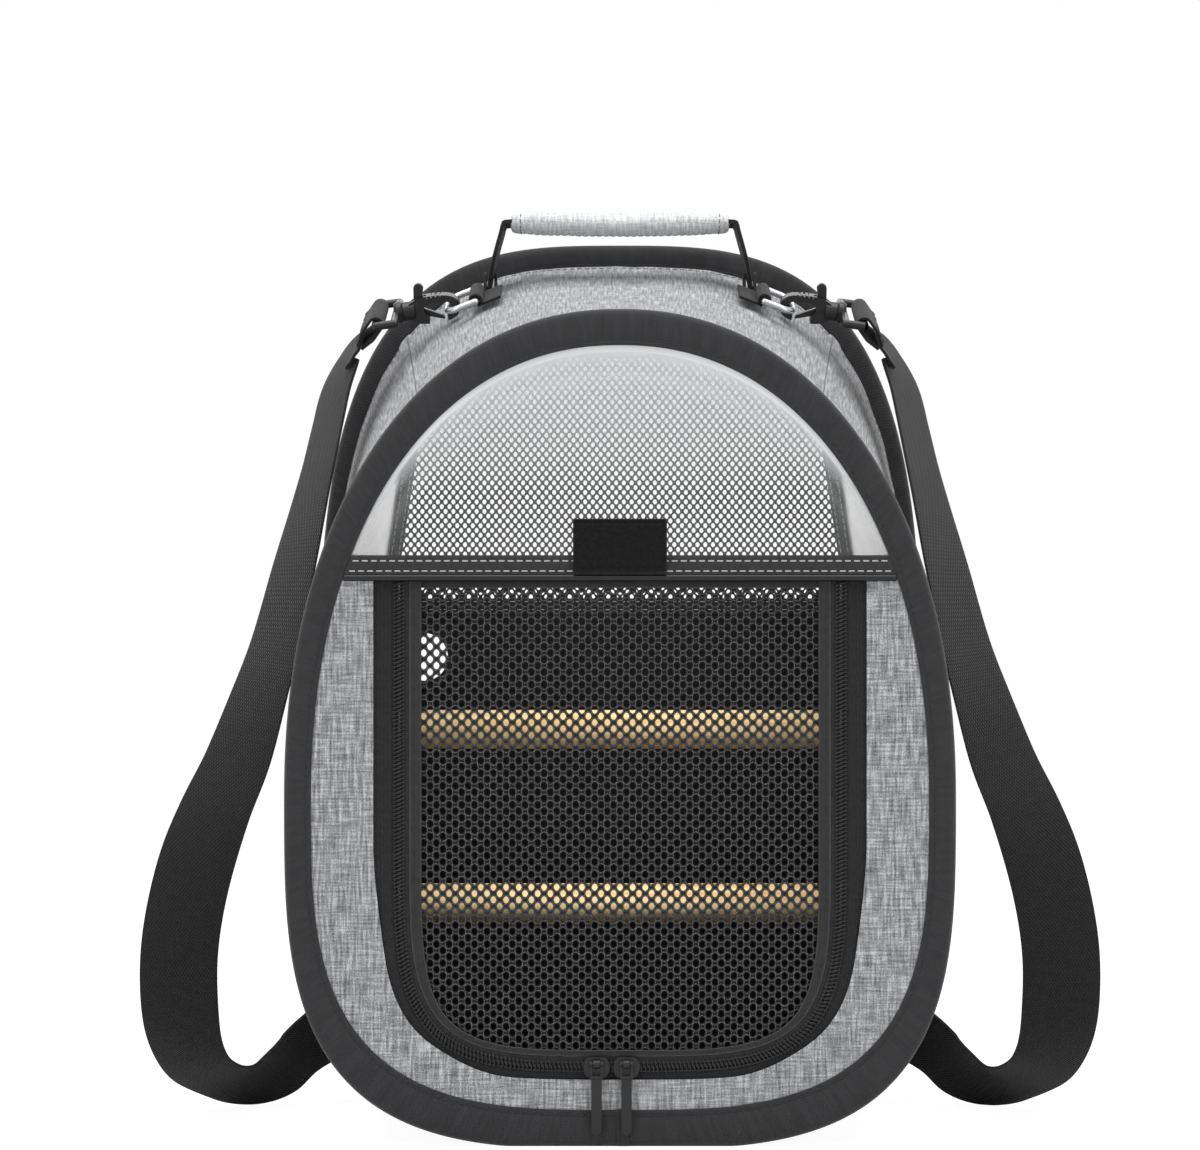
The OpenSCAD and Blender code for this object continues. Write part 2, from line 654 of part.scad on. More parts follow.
ring_corner = 7;
module d_ring() color(steel) clip_frame() rotate([0, ring_slope, 0]) {
    half = (ring_w + ring_d) / 2;
    rod_y(0, 0, half, ring_d / 2);
    rod_y(ring_reach, 0, half - ring_corner, ring_d / 2);
    for (s = [-1, 1]) translate([0, s * half, 0]) {
        sphere(ring_d / 2);
        rotate([0, 90, 0]) cylinder(h = ring_reach - ring_corner, r = ring_d / 2);
        translate([ring_reach - ring_corner, -s * ring_corner, 0]) rotate([0, 0, s > 0 ? 0 : -90])
            rotate_extrude(angle = 90) translate([ring_corner, 0]) circle(ring_d / 2);
    }
}

tab_web = ring_w - 1.5;
tab_loop_r = ring_d / 2 + gap;
tab_tail = 13;
shoulder_slope = atan2(wall_z(clip_y, ring_x - tab_tail) - wall_z(clip_y, ring_x), tab_tail);
tab_foot = -ring_lift * cos(shoulder_slope) * cos(clip_tilt) + 0.8;
module ring_tab() color(black) clip_frame() rotate([90, 0, 0])
    translate([0, 0, -tab_web / 2]) linear_extrude(tab_web) difference() {
        union() {
            circle(tab_loop_r + 1.8);
            rotate(-shoulder_slope) {
                translate([-tab_tail, -tab_loop_r - 1.75]) square([tab_tail, 1.6]);
                translate([-tab_tail, tab_foot]) square([4, -tab_foot - tab_loop_r - 0.15]);
            }
        }
        circle(tab_loop_r);
    }
module ring_tabs() { side(true) ring_tab(); side(false) ring_tab(); }

bow_reach = ring_d / 2 + gap;     // from the D-ring's bar to the inside of the bow
bow_t = 4;
hook_end = 21;                    // outer end of the hook's body
hook_half = 7.4;
swivel_r = 2.2;
lever_pivot = [15.5, 0];
lever_pin_r = 1.2;
lever_t = 2.4;
thumb_r = 2.6;
slot_w = 3;
slot_end = 19.6;

function oval(x0, x1, up, down, n) = [for (k = [0 : 47])
    let (t = 360 * k / 48, c = cos(t), s = sin(t), a = (x1 - x0) / 2,
         r = 1 / pow(pow(abs(c), n) + pow(abs(s), n), 1 / n))
    [(x0 + x1) / 2 + a * r * c, (s > 0 ? up : down) * r * s]];

module along_y(t) rotate([90, 0, 0]) translate([0, 0, -t / 2]) linear_extrude(t) children();

module snap_hook() color(plastic) hook_frame() difference() {
    union() {
        along_y(hook_thick) difference() {
            polygon(oval(-bow_reach - bow_t, hook_end + 1, hook_half, hook_half, 2.6));
            polygon(oval(-bow_reach, lever_pivot[0] - 2.5, 3.9, 3.6, 2.4));
            // mouth that the lever's arm closes
            translate([1, -hook_half - 1]) square([10, hook_half - 1]);
            // ribs on the back of the bow
            for (k = [0 : 4]) translate([1 + 2.4 * k, hook_half - 0.1 - 0.05 * k * k]) circle(0.6, $fn = 16);
        }
        translate([hook_end - 3, 0, 0]) rotate([0, 90, 0]) cylinder(h = 6, r = 5.2);
    }
    // slot for the lever between two cheeks
    translate([11, -slot_w / 2, -hook_half - 1]) cube([slot_end - 11, slot_w, 2 * hook_half + 2]);
    rod_y(lever_pivot[0], lever_pivot[1], hook_thick, lever_pin_r);
    translate([slot_end + 0.6, 0, 0]) rotate([0, 90, 0]) cylinder(h = 10, r = swivel_r + 0.06);
}

module hook_lever() color(plastic) hook_frame() {
    rod_y(lever_pivot[0], lever_pivot[1], hook_thick / 2, lever_pin_r - 0.06);
    along_y(lever_t) union() {
        translate(lever_pivot) circle(2.6);
        polygon([[lever_pivot[0] - 0.5, -2.4], [lever_pivot[0] - 1.5, 1.4], [3.6, -4.2], [2.6, -5.9], [3.2, -6.3]]);
        hull() {
            translate([16, 4.5]) circle(2);
            translate([14.4, 11.8]) circle(thumb_r);
        }
        translate([lever_pivot[0] - 1.5, 0]) square([3, 5]);
    }
}

eye_wire = 2.2;
collar_x = hook_end + 3 + gap;
eye_near = collar_x + 3.5;
eye_far = eye_near + 10;
module swivel_eye() color(plastic) hook_frame() {
    half = eye_w / 2 + eye_wire;
    translate([slot_end + 0.9, 0, 0]) rotate([0, 90, 0]) cylinder(h = collar_x - slot_end, r = swivel_r);
    translate([collar_x, 0, 0]) rotate([0, 90, 0]) rotate_extrude()
        polygon([[0, 0], [5.2, 0], [6, 0.8], [6, 3], [5, 4.6], [0, 4.6]]);
    rod_y(eye_near, 0, half, eye_wire);
    rod_y(eye_far, 0, half, eye_wire);
    for (s = [-1, 1]) translate([eye_near, s * half, 0]) {
        sphere(eye_wire);
        rotate([0, 90, 0]) cylinder(h = eye_far - eye_near, r = eye_wire);
        translate([eye_far - eye_near, 0, 0]) sphere(eye_wire);
    }
}

loop_r = eye_wire + gap;
loop_drop = 47;      // angle of the strap's first stretch below the hook's axis
loop_len = 16;
module strap_loop() color(black) hook_frame() translate([eye_far, 0, 0]) rotate([0, loop_drop, 0])
    along_y(strap_w) difference() {
        union() {
            circle(loop_r + strap_t);
            translate([0, -loop_r - strap_t]) square([loop_len, strap_t]);
            translate([0, loop_r]) square([loop_len, strap_t]);
            translate([loop_len - 6, -loop_r - 0.5]) square([6, 2 * loop_r + 1]);
        }
        circle(loop_r);
    }

module d_ring_left() side(false) d_ring();
module d_ring_right() side(true) d_ring();
module swivel_eye_left() side(false) swivel_eye();
module swivel_eye_right() side(true) swivel_eye();
module strap_loop_left() side(false) strap_loop();
module strap_loop_right() side(true) strap_loop();
module snap_hook_left() side(false) snap_hook();
module snap_hook_right() side(true) snap_hook();
module hook_lever_left() side(false) hook_lever();
module hook_lever_right() side(true) hook_lever();

// ---- Shoulder straps ----

strap_end = [gusset_back - 24, 42];   // depth and height of a strap's lower end on the side gusset
// A point on the strap's first stretch, past the end of its sewn loop.
loop_slope = loop_drop + hook_slope;
function loop_end(past) =
    let (l = loop_len + past, x = ring_reach * cos(ring_slope) + eye_far * cos(hook_slope) + l * cos(loop_slope),
         z = -ring_reach * sin(ring_slope) - eye_far * sin(hook_slope) - l * sin(loop_slope))
    [ring_x + x, clip_y - z * sin(clip_tilt), clip_z + z * cos(clip_tilt)];
// Route of the right strap from the hook to the carrier's lower back corner. Each entry is
// a point of its centre line and the direction across the webbing there.
strap_route = [
    [loop_end(0.5), [0, cos(clip_tilt), sin(clip_tilt)]],
    [loop_end(6), [0, cos(clip_tilt), sin(clip_tilt)]],
    [loop_end(12), [0.06, 0.95, 0.3]],
    [[150.5, 43, 383], [0.16, 0.97, 0.16]],
    [[154.5, 37, 364], [0.23, 0.97, 0.06]],
    [[158.5, 30.5, 343], [0.3, 0.95, 0]],
    [[163, 25, 320], [0.42, 0.91, 0]],
    [[170, 18, 288], [0.56, 0.83, 0]],
    [[180, 11, 248], [0.7, 0.71, 0]],
    [[189, 6, 217], [0.8, 0.6, 0]],
    [[199, 2, 186], [0.9, 0.44, 0]],
    [[210, -2, 160], [0.95, 0.3, 0]],
    [[219, -5, 134], [0.99, 0.12, 0]],
    [[225, -7, 108], [1, 0.05, 0]],
    [[228, -7, 84], [1, 0, 0]],
    [[228, -5, 60], [1, 0.02, 0]],
    [[226, 0, 41], [0.95, 0.25, -0.15]],
    [[221, 8, 27], [0.76, 0.52, -0.38]],
    [[213, 18, 19], [0.4, 0.77, -0.49]],
    [[202, 28, 15], [0.05, 0.86, -0.51]],
    [[190, 38, 16], [-0.2, 0.82, -0.53]],
    [[178, 48, 21], [-0.3, 0.74, -0.6]],
    [[167, 57, 31], [-0.25, 0.66, -0.71]],
    [[wall_x(strap_end[0], strap_end[1]) + 3.4, strap_end[0], strap_end[1]], [-0.32, 0.55, -0.77]]];
strap_fine = 3;      // steps between two points of the route

function spline(a, b, c, d, t) =
    0.5 * (2 * b + (c - a) * t + (2 * a - 5 * b + 4 * c - d) * t * t + (3 * b - a - 3 * c + d) * t * t * t);
function route_at(list, k, i) =
    let (n = floor(i), t = i - n, m = len(list) - 1)
    t == 0 ? list[n][k]
           : spline(list[max(n - 1, 0)][k], list[n][k], list[min(n + 1, m)][k], list[min(n + 2, m)][k], t);

module strap() {
    last = len(strap_route) - 1;
    steps = [for (i = [0 : last * strap_fine]) i / strap_fine];
    points = [for (i = steps) route_at(strap_route, 0, i)];
    rings = [for (i = [0 : len(steps) - 1])
        let (along = unit(points[min(i + 1, len(points) - 1)] - points[max(i - 1, 0)]),
             raw = route_at(strap_route, 1, steps[i]),
             w = unit(raw - along * (raw * along)), n = cross(along, w),
             a = points[i] + w * strap_w / 2, b = points[i] - w * strap_w / 2, t = n * strap_t / 2)
        [a + t, b + t, b - t, a - t]];
    color(black) skin(rings);
}
module strap_right() strap();
module strap_left() side(false) strap();

// Cloth patches that hold the lower ends of the straps on the side gussets.
patch_gap = 1.3;     // the side cloth's flat facets stand a little inside the patch's
patch_h = 44;
patch_d = 34;
module strap_patch() {
    ys = [for (k = [0 : 4]) strap_end[0] + patch_d * (k / 4 - 0.5)];
    zs = [for (k = [0 : 4]) strap_end[1] + patch_h * (k / 4 - 0.4)];
    rings = [for (z = zs) concat(
        [for (y = ys) [wall_x(y, z) + patch_gap, y, z]],
        [for (k = [4 : -1 : 0]) [wall_x(ys[k], z) + patch_gap + 1.4, ys[k], z]])];
    color(black) skin(rings);
}
module strap_patches() { side(true) strap_patch(); side(false) strap_patch(); }

front_hoop_wire();
back_hoop_wire();
front_binding();
back_binding();
gusset_top();
gusset_left();
gusset_right();
base_panel();
base_board();
front_panel();
window_pane();
cross_band();
closure_tab();
back_panel();
back_net();
back_window_binding();
back_lining();
port_eyelet();
zip_tape();
zip_teeth_outer();
perch_upper();
perch_lower();
perch_washers();
perch_screws();
handle_feet();
ring_tabs();
strap_patches();
strap_left();
strap_right();
door_net();
door_binding();
zip_teeth_inner();
slider_left();
slider_right();
pull_left();
pull_right();
handle_webbing();
handle_sleeve();
d_ring_left();
d_ring_right();
swivel_eye_left();
swivel_eye_right();
strap_loop_left();
strap_loop_right();
snap_hook_left();
snap_hook_right();
hook_lever_left();
hook_lever_right();
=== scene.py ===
import bpy
import json
import math
from mathutils import Vector, Matrix, noise

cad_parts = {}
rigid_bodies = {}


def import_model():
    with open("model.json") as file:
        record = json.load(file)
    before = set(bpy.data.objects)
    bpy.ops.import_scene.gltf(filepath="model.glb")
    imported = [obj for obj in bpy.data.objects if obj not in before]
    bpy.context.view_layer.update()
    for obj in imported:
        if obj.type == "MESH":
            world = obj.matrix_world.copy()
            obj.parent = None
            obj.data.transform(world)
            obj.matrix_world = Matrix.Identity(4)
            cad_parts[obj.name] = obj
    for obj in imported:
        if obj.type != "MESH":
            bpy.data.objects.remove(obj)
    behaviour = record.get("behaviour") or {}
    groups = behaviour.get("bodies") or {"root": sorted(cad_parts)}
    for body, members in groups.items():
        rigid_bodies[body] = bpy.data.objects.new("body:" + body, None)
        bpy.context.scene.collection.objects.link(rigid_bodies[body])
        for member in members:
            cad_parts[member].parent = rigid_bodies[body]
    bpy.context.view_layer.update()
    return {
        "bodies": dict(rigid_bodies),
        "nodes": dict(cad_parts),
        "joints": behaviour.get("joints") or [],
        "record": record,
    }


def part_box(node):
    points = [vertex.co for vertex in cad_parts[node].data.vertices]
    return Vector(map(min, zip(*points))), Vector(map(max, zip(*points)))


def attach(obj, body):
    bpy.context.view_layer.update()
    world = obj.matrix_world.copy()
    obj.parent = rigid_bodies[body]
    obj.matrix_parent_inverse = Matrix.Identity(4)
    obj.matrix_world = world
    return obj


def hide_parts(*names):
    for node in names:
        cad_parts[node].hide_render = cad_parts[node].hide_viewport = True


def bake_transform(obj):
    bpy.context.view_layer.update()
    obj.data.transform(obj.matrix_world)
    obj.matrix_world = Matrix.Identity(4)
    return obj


# Bird travel carrier: cloth cabin on two sprung hoops, net door, straps and handle.
# Lengths in the dictionaries are millimetres; mm turns them into metres.

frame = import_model()
nodes = frame["nodes"]
mm = 0.001
print("stage: frame loaded,", len(nodes), "CAD nodes")


# ---------- small helpers ----------

def hexToLinear(code):
    out = []
    for i in (1, 3, 5):
        c = int(code[i:i + 2], 16) / 255
        out.append(c / 12.92 if c <= 0.04045 else ((c + 0.055) / 1.055) ** 2.4)
    return (*out, 1.0)


def mix(a, b, s):
    return a + (b - a) * s


def addNode(tree, kind, settings=None, links=None):
    node = tree.nodes.new(kind)
    for key, value in (settings or {}).items():
        if key.startswith("in:"):
            name = key[3:]
            socket = node.inputs[int(name)] if name.isdigit() else node.inputs[name]
            socket.default_value = value
        else:
            setattr(node, key, value)
    for key, source in (links or {}).items():
        socket = node.inputs[int(key)] if key.isdigit() else node.inputs[key]
        tree.links.new(source, socket)
    return node


def selectOnly(obj):
    bpy.ops.object.select_all(action="DESELECT")
    obj.select_set(True)
    bpy.context.view_layer.objects.active = obj


def applyModifier(obj, kind, **settings):
    selectOnly(obj)
    modifier = obj.modifiers.new(kind.lower(), kind)
    for key, value in settings.items():
        setattr(modifier, key, value)
    bpy.ops.object.modifier_apply(modifier=modifier.name)


def editMesh(obj, *steps):
    # runs edit-mode operators on the whole mesh, each given as (operator, settings)
    selectOnly(obj)
    bpy.ops.object.mode_set(mode="EDIT")
    bpy.ops.mesh.select_all(action="SELECT")
    for operator, settings in steps:
        operator(**settings)
    bpy.ops.object.mode_set(mode="OBJECT")


def settle(obj):
    # puts the object's place into its mesh
    selectOnly(obj)
    bpy.ops.object.transform_apply(location=True, rotation=True, scale=True)


def smooth(obj, angle=40):
    selectOnly(obj)
    bpy.ops.object.shade_smooth_by_angle(angle=math.radians(angle))


def joinAll(pieces, name):
    bpy.ops.object.select_all(action="DESELECT")
    for piece in pieces:
        piece.select_set(True)
    bpy.context.view_layer.objects.active = pieces[0]
    if len(pieces) > 1:
        bpy.ops.object.join()
    pieces[0].name = name
    return pieces[0]


def formedGrid(name, across, along, form, closeAcross=False, closeAlong=False, uvSize=(1, 1)):
    # a grid primitive whose points are moved to form(u, v) in metres, u and v from 0 to 1
    bpy.ops.mesh.primitive_grid_add(x_subdivisions=across, y_subdivisions=along, size=1)
    obj = bpy.context.active_object
    obj.name = name
    layer = obj.data.uv_layers.active or obj.data.uv_layers.new(name="cloth")
    layer.name = "cloth"
    for loop in obj.data.loops:
        flat = obj.data.vertices[loop.vertex_index].co
        layer.data[loop.index].uv = ((flat.x + 0.5) * uvSize[0], (flat.y + 0.5) * uvSize[1])
    for vertex in obj.data.vertices:
        vertex.co = form(vertex.co.x + 0.5, vertex.co.y + 0.5)
    if closeAcross or closeAlong:
        editMesh(obj, (bpy.ops.mesh.remove_doubles, {"threshold": 1e-6}))
    return obj


def outward(obj):
    editMesh(obj, (bpy.ops.mesh.normals_make_consistent, {"inside": False}))


def dress(obj, material, body, *replaced, slotName=None):
    if material is not None:
        obj.data.materials.clear()
        obj.data.materials.append(material)
    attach(obj, body)
    if replaced:
        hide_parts(*replaced)
    return obj


# ---------- camera and light ----------

shot = {
    "distance": 1600,        # from the front hoop
    "height": 250,
    "mmPerPixel": 0.49,      # at the front hoop
    "width": 1200,
    "middle": (620, 1147),   # picture place of the hoop's foot
}


def setCamera():
    data = bpy.data.cameras.new("camera")
    camera = bpy.data.objects.new("camera", data)
    bpy.context.scene.collection.objects.link(camera)
    frontY = cadFront
    camera.location = (0, frontY - shot["distance"] * mm, shot["height"] * mm)
    camera.rotation_euler = (math.radians(90), 0, 0)
    data.sensor_width = 36
    data.lens = 36 * shot["distance"] / (shot["width"] * shot["mmPerPixel"])
    horizonRow = shot["middle"][1] - shot["height"] / shot["mmPerPixel"]
    data.shift_x = (600 - shot["middle"][0]) / shot["width"]
    data.shift_y = (horizonRow - 575) / shot["width"]
    data.clip_end = 20
    bpy.context.scene.camera = camera


def areaLamp(name, place, target, size, power):
    data = bpy.data.lights.new(name, "AREA")
    data.shape = "RECTANGLE"
    data.size, data.size_y = size
    data.energy = power
    lamp = bpy.data.objects.new(name, data)
    bpy.context.scene.collection.objects.link(lamp)
    lamp.location = place
    lamp.rotation_euler = (Vector(target) - Vector(place)).to_track_quat("-Z", "Y").to_euler()
    return lamp


def hideLamp(lamp):
    lamp.visible_camera = False
    lamp.visible_glossy = False
    lamp.visible_transmission = False


def setLight():
    middle = (0, 0, 0.25)
    areaLamp("overheadSoftbox", (0, -0.3, 2.0), middle, (2.2, 1.6), 38)
    areaLamp("leftSoftbox", (-1.6, -1.5, 0.9), middle, (1.0, 1.6), 8)
    areaLamp("rightSoftbox", (1.6, -1.5, 0.9), middle, (1.0, 1.6), 8)
    areaLamp("backSoftbox", (0, 1.8, 1.2), middle, (1.6, 1.0), 8)
    # small lamps inside the cabin, hidden from the camera, light the perches behind the net
    for name, z, power in (("cabinLampUpper", 0.275, 0.19), ("cabinLampLower", 0.19, 0.14)):
        lamp = areaLamp(name, (0, -0.066, z), (0, -0.0659, z - 0.1), (0.18, 0.03), power)
        hideLamp(lamp)
    # and one lights the back panel's pale inside above the perches
    hideLamp(areaLamp("cabinLampBack", (0, 0.0, 0.345), (0, 0.09, 0.325), (0.16, 0.06), 0.3))
    world = bpy.data.worlds.new("studio")
    bpy.context.scene.world = world
    world.use_nodes = True
    tree = world.node_tree
    tree.nodes.clear()
    path = addNode(tree, "ShaderNodeLightPath")
    seen = addNode(tree, "ShaderNodeMath", {"operation": "MAXIMUM"},
                   {"0": path.outputs["Is Camera Ray"], "1": path.outputs["Is Glossy Ray"]})
    seen = addNode(tree, "ShaderNodeMath", {"operation": "MAXIMUM"},
                   {"0": seen.outputs[0], "1": path.outputs["Is Transmission Ray"]})
    level = addNode(tree, "ShaderNodeMapRange", {"in:To Min": 0.28, "in:To Max": 1.0},
                    {"Value": seen.outputs[0]})
    sky = addNode(tree, "ShaderNodeBackground", {"in:Color": (1, 1, 1, 1)},
                  {"Strength": level.outputs[0]})
    addNode(tree, "ShaderNodeOutputWorld", {}, {"Surface": sky.outputs[0]})


def setFloor():
    bpy.ops.mesh.primitive_plane_add(size=12, location=(0, 0, 0))
    floor = bpy.context.active_object
    floor.name = "studioFloor"
    material = bpy.data.materials.new("paleFloor")
    material.use_nodes = True
    tree = material.node_tree
    tree.nodes.clear()
    path = addNode(tree, "ShaderNodeLightPath")
    plain = addNode(tree, "ShaderNodeBsdfDiffuse", {"in:Color": hexToLinear("#f4f4f4")})
    faint = addNode(tree, "ShaderNodeBsdfDiffuse", {"in:Color": hexToLinear("#8a8a8a")})
    glow = addNode(tree, "ShaderNodeEmission", {"in:Color": (1, 1, 1, 1), "in:Strength": 0.94})
    lift = addNode(tree, "ShaderNodeAddShader", {}, {"0": faint.outputs[0], "1": glow.outputs[0]})
    both = addNode(tree, "ShaderNodeMixShader", {},
                   {"0": path.outputs["Is Camera Ray"], "1": plain.outputs[0], "2": lift.outputs[0]})
    addNode(tree, "ShaderNodeOutputMaterial", {}, {"Surface": both.outputs[0]})
    floor.data.materials.append(material)


bpy.context.scene.view_settings.view_transform = "Standard"
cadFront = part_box("front_binding")[0].y
setCamera()
setLight()
setFloor()
print("stage: camera, light and floor")


# ---------- the carrier's outlines ----------

# An outline is (half width, height of its widest line, top, bottom, roundness above, roundness below).
cabin = {
    "frontOuter": (165, 170, 411, -1.5, 2.17, 3.3),
    "frontInner": (151.5, 170, 393, 18, 2.17, 3.2),
    "backOuter": (165, 190, 464, -1.5, 3.15, 7),
    "backInner": (151.5, 190, 450.5, 13.5, 3.1, 6.5),
    "frontSeam": (158, 170, 404, 5.5, 2.17, 3.3),
    "backSeam": (157.5, 190, 452.5, 11.5, 3.1, 6.5),
    "gussetFront": -88,
    "gussetBack": 88,
    "gussetSag": 2.5,
}


def inset(outline, d):
    a, middle, top, bottom, up, low = outline
    return (a - d, middle, top - d, bottom + d, up, low)


def onOutline(outline, degrees):
    a, middle, top, bottom, up, low = outline
    c, s = math.cos(math.radians(degrees)), math.sin(math.radians(degrees))
    b, n = (top - middle, up) if s >= 0 else (middle - bottom, low)
    r = ((abs(c) / a) ** n + (abs(s) / b) ** n) ** (-1 / n)
    return Vector((r * c, middle + r * s))


def widthAt(outline, z):
    a, middle, top, bottom, up, low = outline
    b, n = (top - middle, up) if z >= middle else (middle - bottom, low)
    return a * max(0, 1 - (abs(z - middle) / b) ** n) ** (1 / n)


def heightAt(outline, x):
    a, middle, top, bottom, up, low = outline
    return middle + (top - middle) * max(0, 1 - (abs(x) / a) ** up) ** (1 / up)


def directionAt(outline, z):
    # direction, in degrees, of the outline's right-hand point at height z
    return math.degrees(math.atan2(z - outline[1], widthAt(outline, z)))


def seamAt(y):
    s = (y - cabin["gussetFront"]) / (cabin["gussetBack"] - cabin["gussetFront"])
    front, back = cabin["frontSeam"], cabin["backSeam"]
    between = tuple(mix(a, b, s) for a, b in zip(front, back))
    return inset(between, cabin["gussetSag"] * 4 * s * (1 - s))


def pathLengths(points):
    out = [0]
    for a, b in zip(points, points[1:]):
        out.append(out[-1] + (b - a).length)
    return out


def alongPath(points, lengths, share):
    # point and unit direction at a share of the path's whole length
    want = share * lengths[-1]
    k = 0
    while k < len(points) - 2 and lengths[k + 1] < want:
        k += 1
    step = lengths[k + 1] - lengths[k]
    s = (want - lengths[k]) / step if step else 0
    return points[k].lerp(points[k + 1], s), (points[k + 1] - points[k]).normalized()


def uPath(outline, top, steps=96):
    # from the top of the left side, round under the door, to the top of the right side
    a = outline[0]
    straight = 12
    middle = outline[1]
    left = [Vector((-a, mix(top, middle, k / straight))) for k in range(straight)]
    low = [onOutline(outline, 180 + 180 * k / steps) for k in range(steps + 1)]
    right = [Vector((a, mix(middle, top, k / straight))) for k in range(1, straight + 1)]
    return left + low + right


def faceAway(obj, centre):
    # turns the surface so that it faces away from a point, given in metres
    facing = sum((p.center - Vector(centre)).dot(p.normal) * p.area for p in obj.data.polygons)
    if facing < 0:
        editMesh(obj, (bpy.ops.mesh.flip_normals, {}))


def faceTo(obj, direction):
    facing = sum(p.normal.dot(Vector(direction)) * p.area for p in obj.data.polygons)
    if facing < 0:
        editMesh(obj, (bpy.ops.mesh.flip_normals, {}))


def flatUv(obj, across=0, up=2):
    # cloth threads run along two axes; the UV map's unit is a millimetre
    layer = obj.data.uv_layers.get("cloth") or obj.data.uv_layers.new(name="cloth")
    for loop in obj.data.loops:
        place = obj.data.vertices[loop.vertex_index].co
        layer.data[loop.index].uv = (place[across] / mm, place[up] / mm)


def flatShape(name, outlines, frontY, thickness):
    # an upright plate from closed outlines, the later ones being holes
    data = bpy.data.curves.new(name, "CURVE")
    data.dimensions = "2D"
    data.fill_mode = "BOTH"
    data.extrude = thickness * mm / 2
    for outline in outlines:
        spline = data.splines.new("POLY")
        spline.points.add(len(outline) - 1)
        for point, place in zip(spline.points, outline):
            point.co = (place[0] * mm, place[1] * mm, 0, 1)
        spline.use_cyclic_u = True
    obj = bpy.data.objects.new(name, data)
    bpy.context.scene.collection.objects.link(obj)
    obj.rotation_euler = (math.radians(90), 0, 0)
    obj.location = (0, (frontY + thickness / 2) * mm, 0)
    selectOnly(obj)
    bpy.ops.object.convert(target="MESH")
    settle(obj)
    editMesh(obj, (bpy.ops.mesh.remove_doubles, {"threshold": 1e-6}))
    outward(obj)
    flatUv(obj)
    return obj


def repeatPiece(name, template, places):
    # one mesh that holds a copy of the template at each place; the template is used up
    verts, faces = [], []
    for place in places:
        start = len(verts)
        verts += [place @ v.co for v in template.data.vertices]
        faces += [[start + k for k in p.vertices] for p in template.data.polygons]
    mesh = bpy.data.meshes.new(name)
    mesh.from_pydata(verts, [], faces)
    obj = bpy.data.objects.new(name, mesh)
    bpy.context.scene.collection.objects.link(obj)
    bpy.data.objects.remove(template)
    return obj


def placeMatrix(place, along, normal):
    # X lies along, Z looks out of the surface
    x = along.normalized()
    z = (normal - x * normal.dot(x)).normalized()
    y = z.cross(x)
    turned = Matrix((x, y, z)).transposed().to_4x4()
    return Matrix.Translation(place) @ turned


def stitchTemplate(length, width, height):
    bpy.ops.mesh.primitive_cube_add(size=1)
    stitch = bpy.context.active_object
    stitch.scale = (length * mm, width * mm, height * mm)
    settle(stitch)
    applyModifier(stitch, "BEVEL", width=min(width, height) * mm * 0.42, segments=1)
    return stitch


def stitchRow(name, frames, pitch, size, material, body):
    # frames are (point in metres, outward normal); stitches are laid at an even pitch along them
    points = [f[0] for f in frames]
    lengths = pathLengths(points)
    count = max(1, int(lengths[-1] / (pitch * mm)))
    places = []
    k = 0
    for i in range(count):
        want = (i + 0.5) * lengths[-1] / count
        while k < len(points) - 2 and lengths[k + 1] < want:
            k += 1
        s = (want - lengths[k]) / max(lengths[k + 1] - lengths[k], 1e-9)
        place = points[k].lerp(points[k + 1], s)
        normal = frames[k][1].lerp(frames[k + 1][1], s)
        places.append(placeMatrix(place, points[k + 1] - points[k], normal))
    row = repeatPiece(name, stitchTemplate(*size), places)
    smooth(row, 50)
    return dress(row, material, body)


# ---------- finishes ----------

def newFinish(name, settings):
    material = bpy.data.materials.new(name)
    material.use_nodes = True
    tree = material.node_tree
    tree.nodes.clear()
    shader = addNode(tree, "ShaderNodeBsdfPrincipled", settings)
    addNode(tree, "ShaderNodeOutputMaterial", {}, {"Surface": shader.outputs[0]})
    return material, tree, shader


def clothCoordinates(tree):
    uv = addNode(tree, "ShaderNodeUVMap", {"uv_map": "cloth"})
    return uv.outputs[0], addNode(tree, "ShaderNodeSeparateXYZ", {}, {"0": uv.outputs[0]})


def plainWeave(tree, split, acrossPitch, alongPitch):
    # height of crossing threads, from -1 to 1; the pitches are in millimetres
    rounds = []
    for axis, pitch in (("X", acrossPitch), ("Y", alongPitch)):
        turn = addNode(tree, "ShaderNodeMath", {"operation": "MULTIPLY", "in:1": 2 * math.pi / pitch},
                       {"0": split.outputs[axis]})
        rounds.append(addNode(tree, "ShaderNodeMath", {"operation": "SINE"}, {"0": turn.outputs[0]}))
    return addNode(tree, "ShaderNodeMath", {"operation": "MULTIPLY"},
                   {"0": rounds[0].outputs[0], "1": rounds[1].outputs[0]})


def addRelief(tree, shader, height, distance, strength=1.0):
    bump = addNode(tree, "ShaderNodeBump", {"in:Strength": strength, "in:Distance": distance * mm},
                   {"Height": height})
    tree.links.new(bump.outputs[0], shader.inputs["Normal"])


def noiseAt(tree, vector, scale, stretch=(1, 1, 1), detail=3):
    mapping = addNode(tree, "ShaderNodeMapping", {"in:Scale": stretch}, {"Vector": vector})
    return addNode(tree, "ShaderNodeTexNoise", {"in:Scale": scale, "in:Detail": detail},
                   {"Vector": mapping.outputs[0]})


def ramp(tree, source, stops):
    node = addNode(tree, "ShaderNodeValToRGB", {}, {"0": source})
    elements = node.color_ramp.elements
    while len(elements) < len(stops):
        elements.new(0.5)
    for element, (place, colour) in zip(elements, stops):
        element.position = place
        element.color = hexToLinear(colour)
    return node


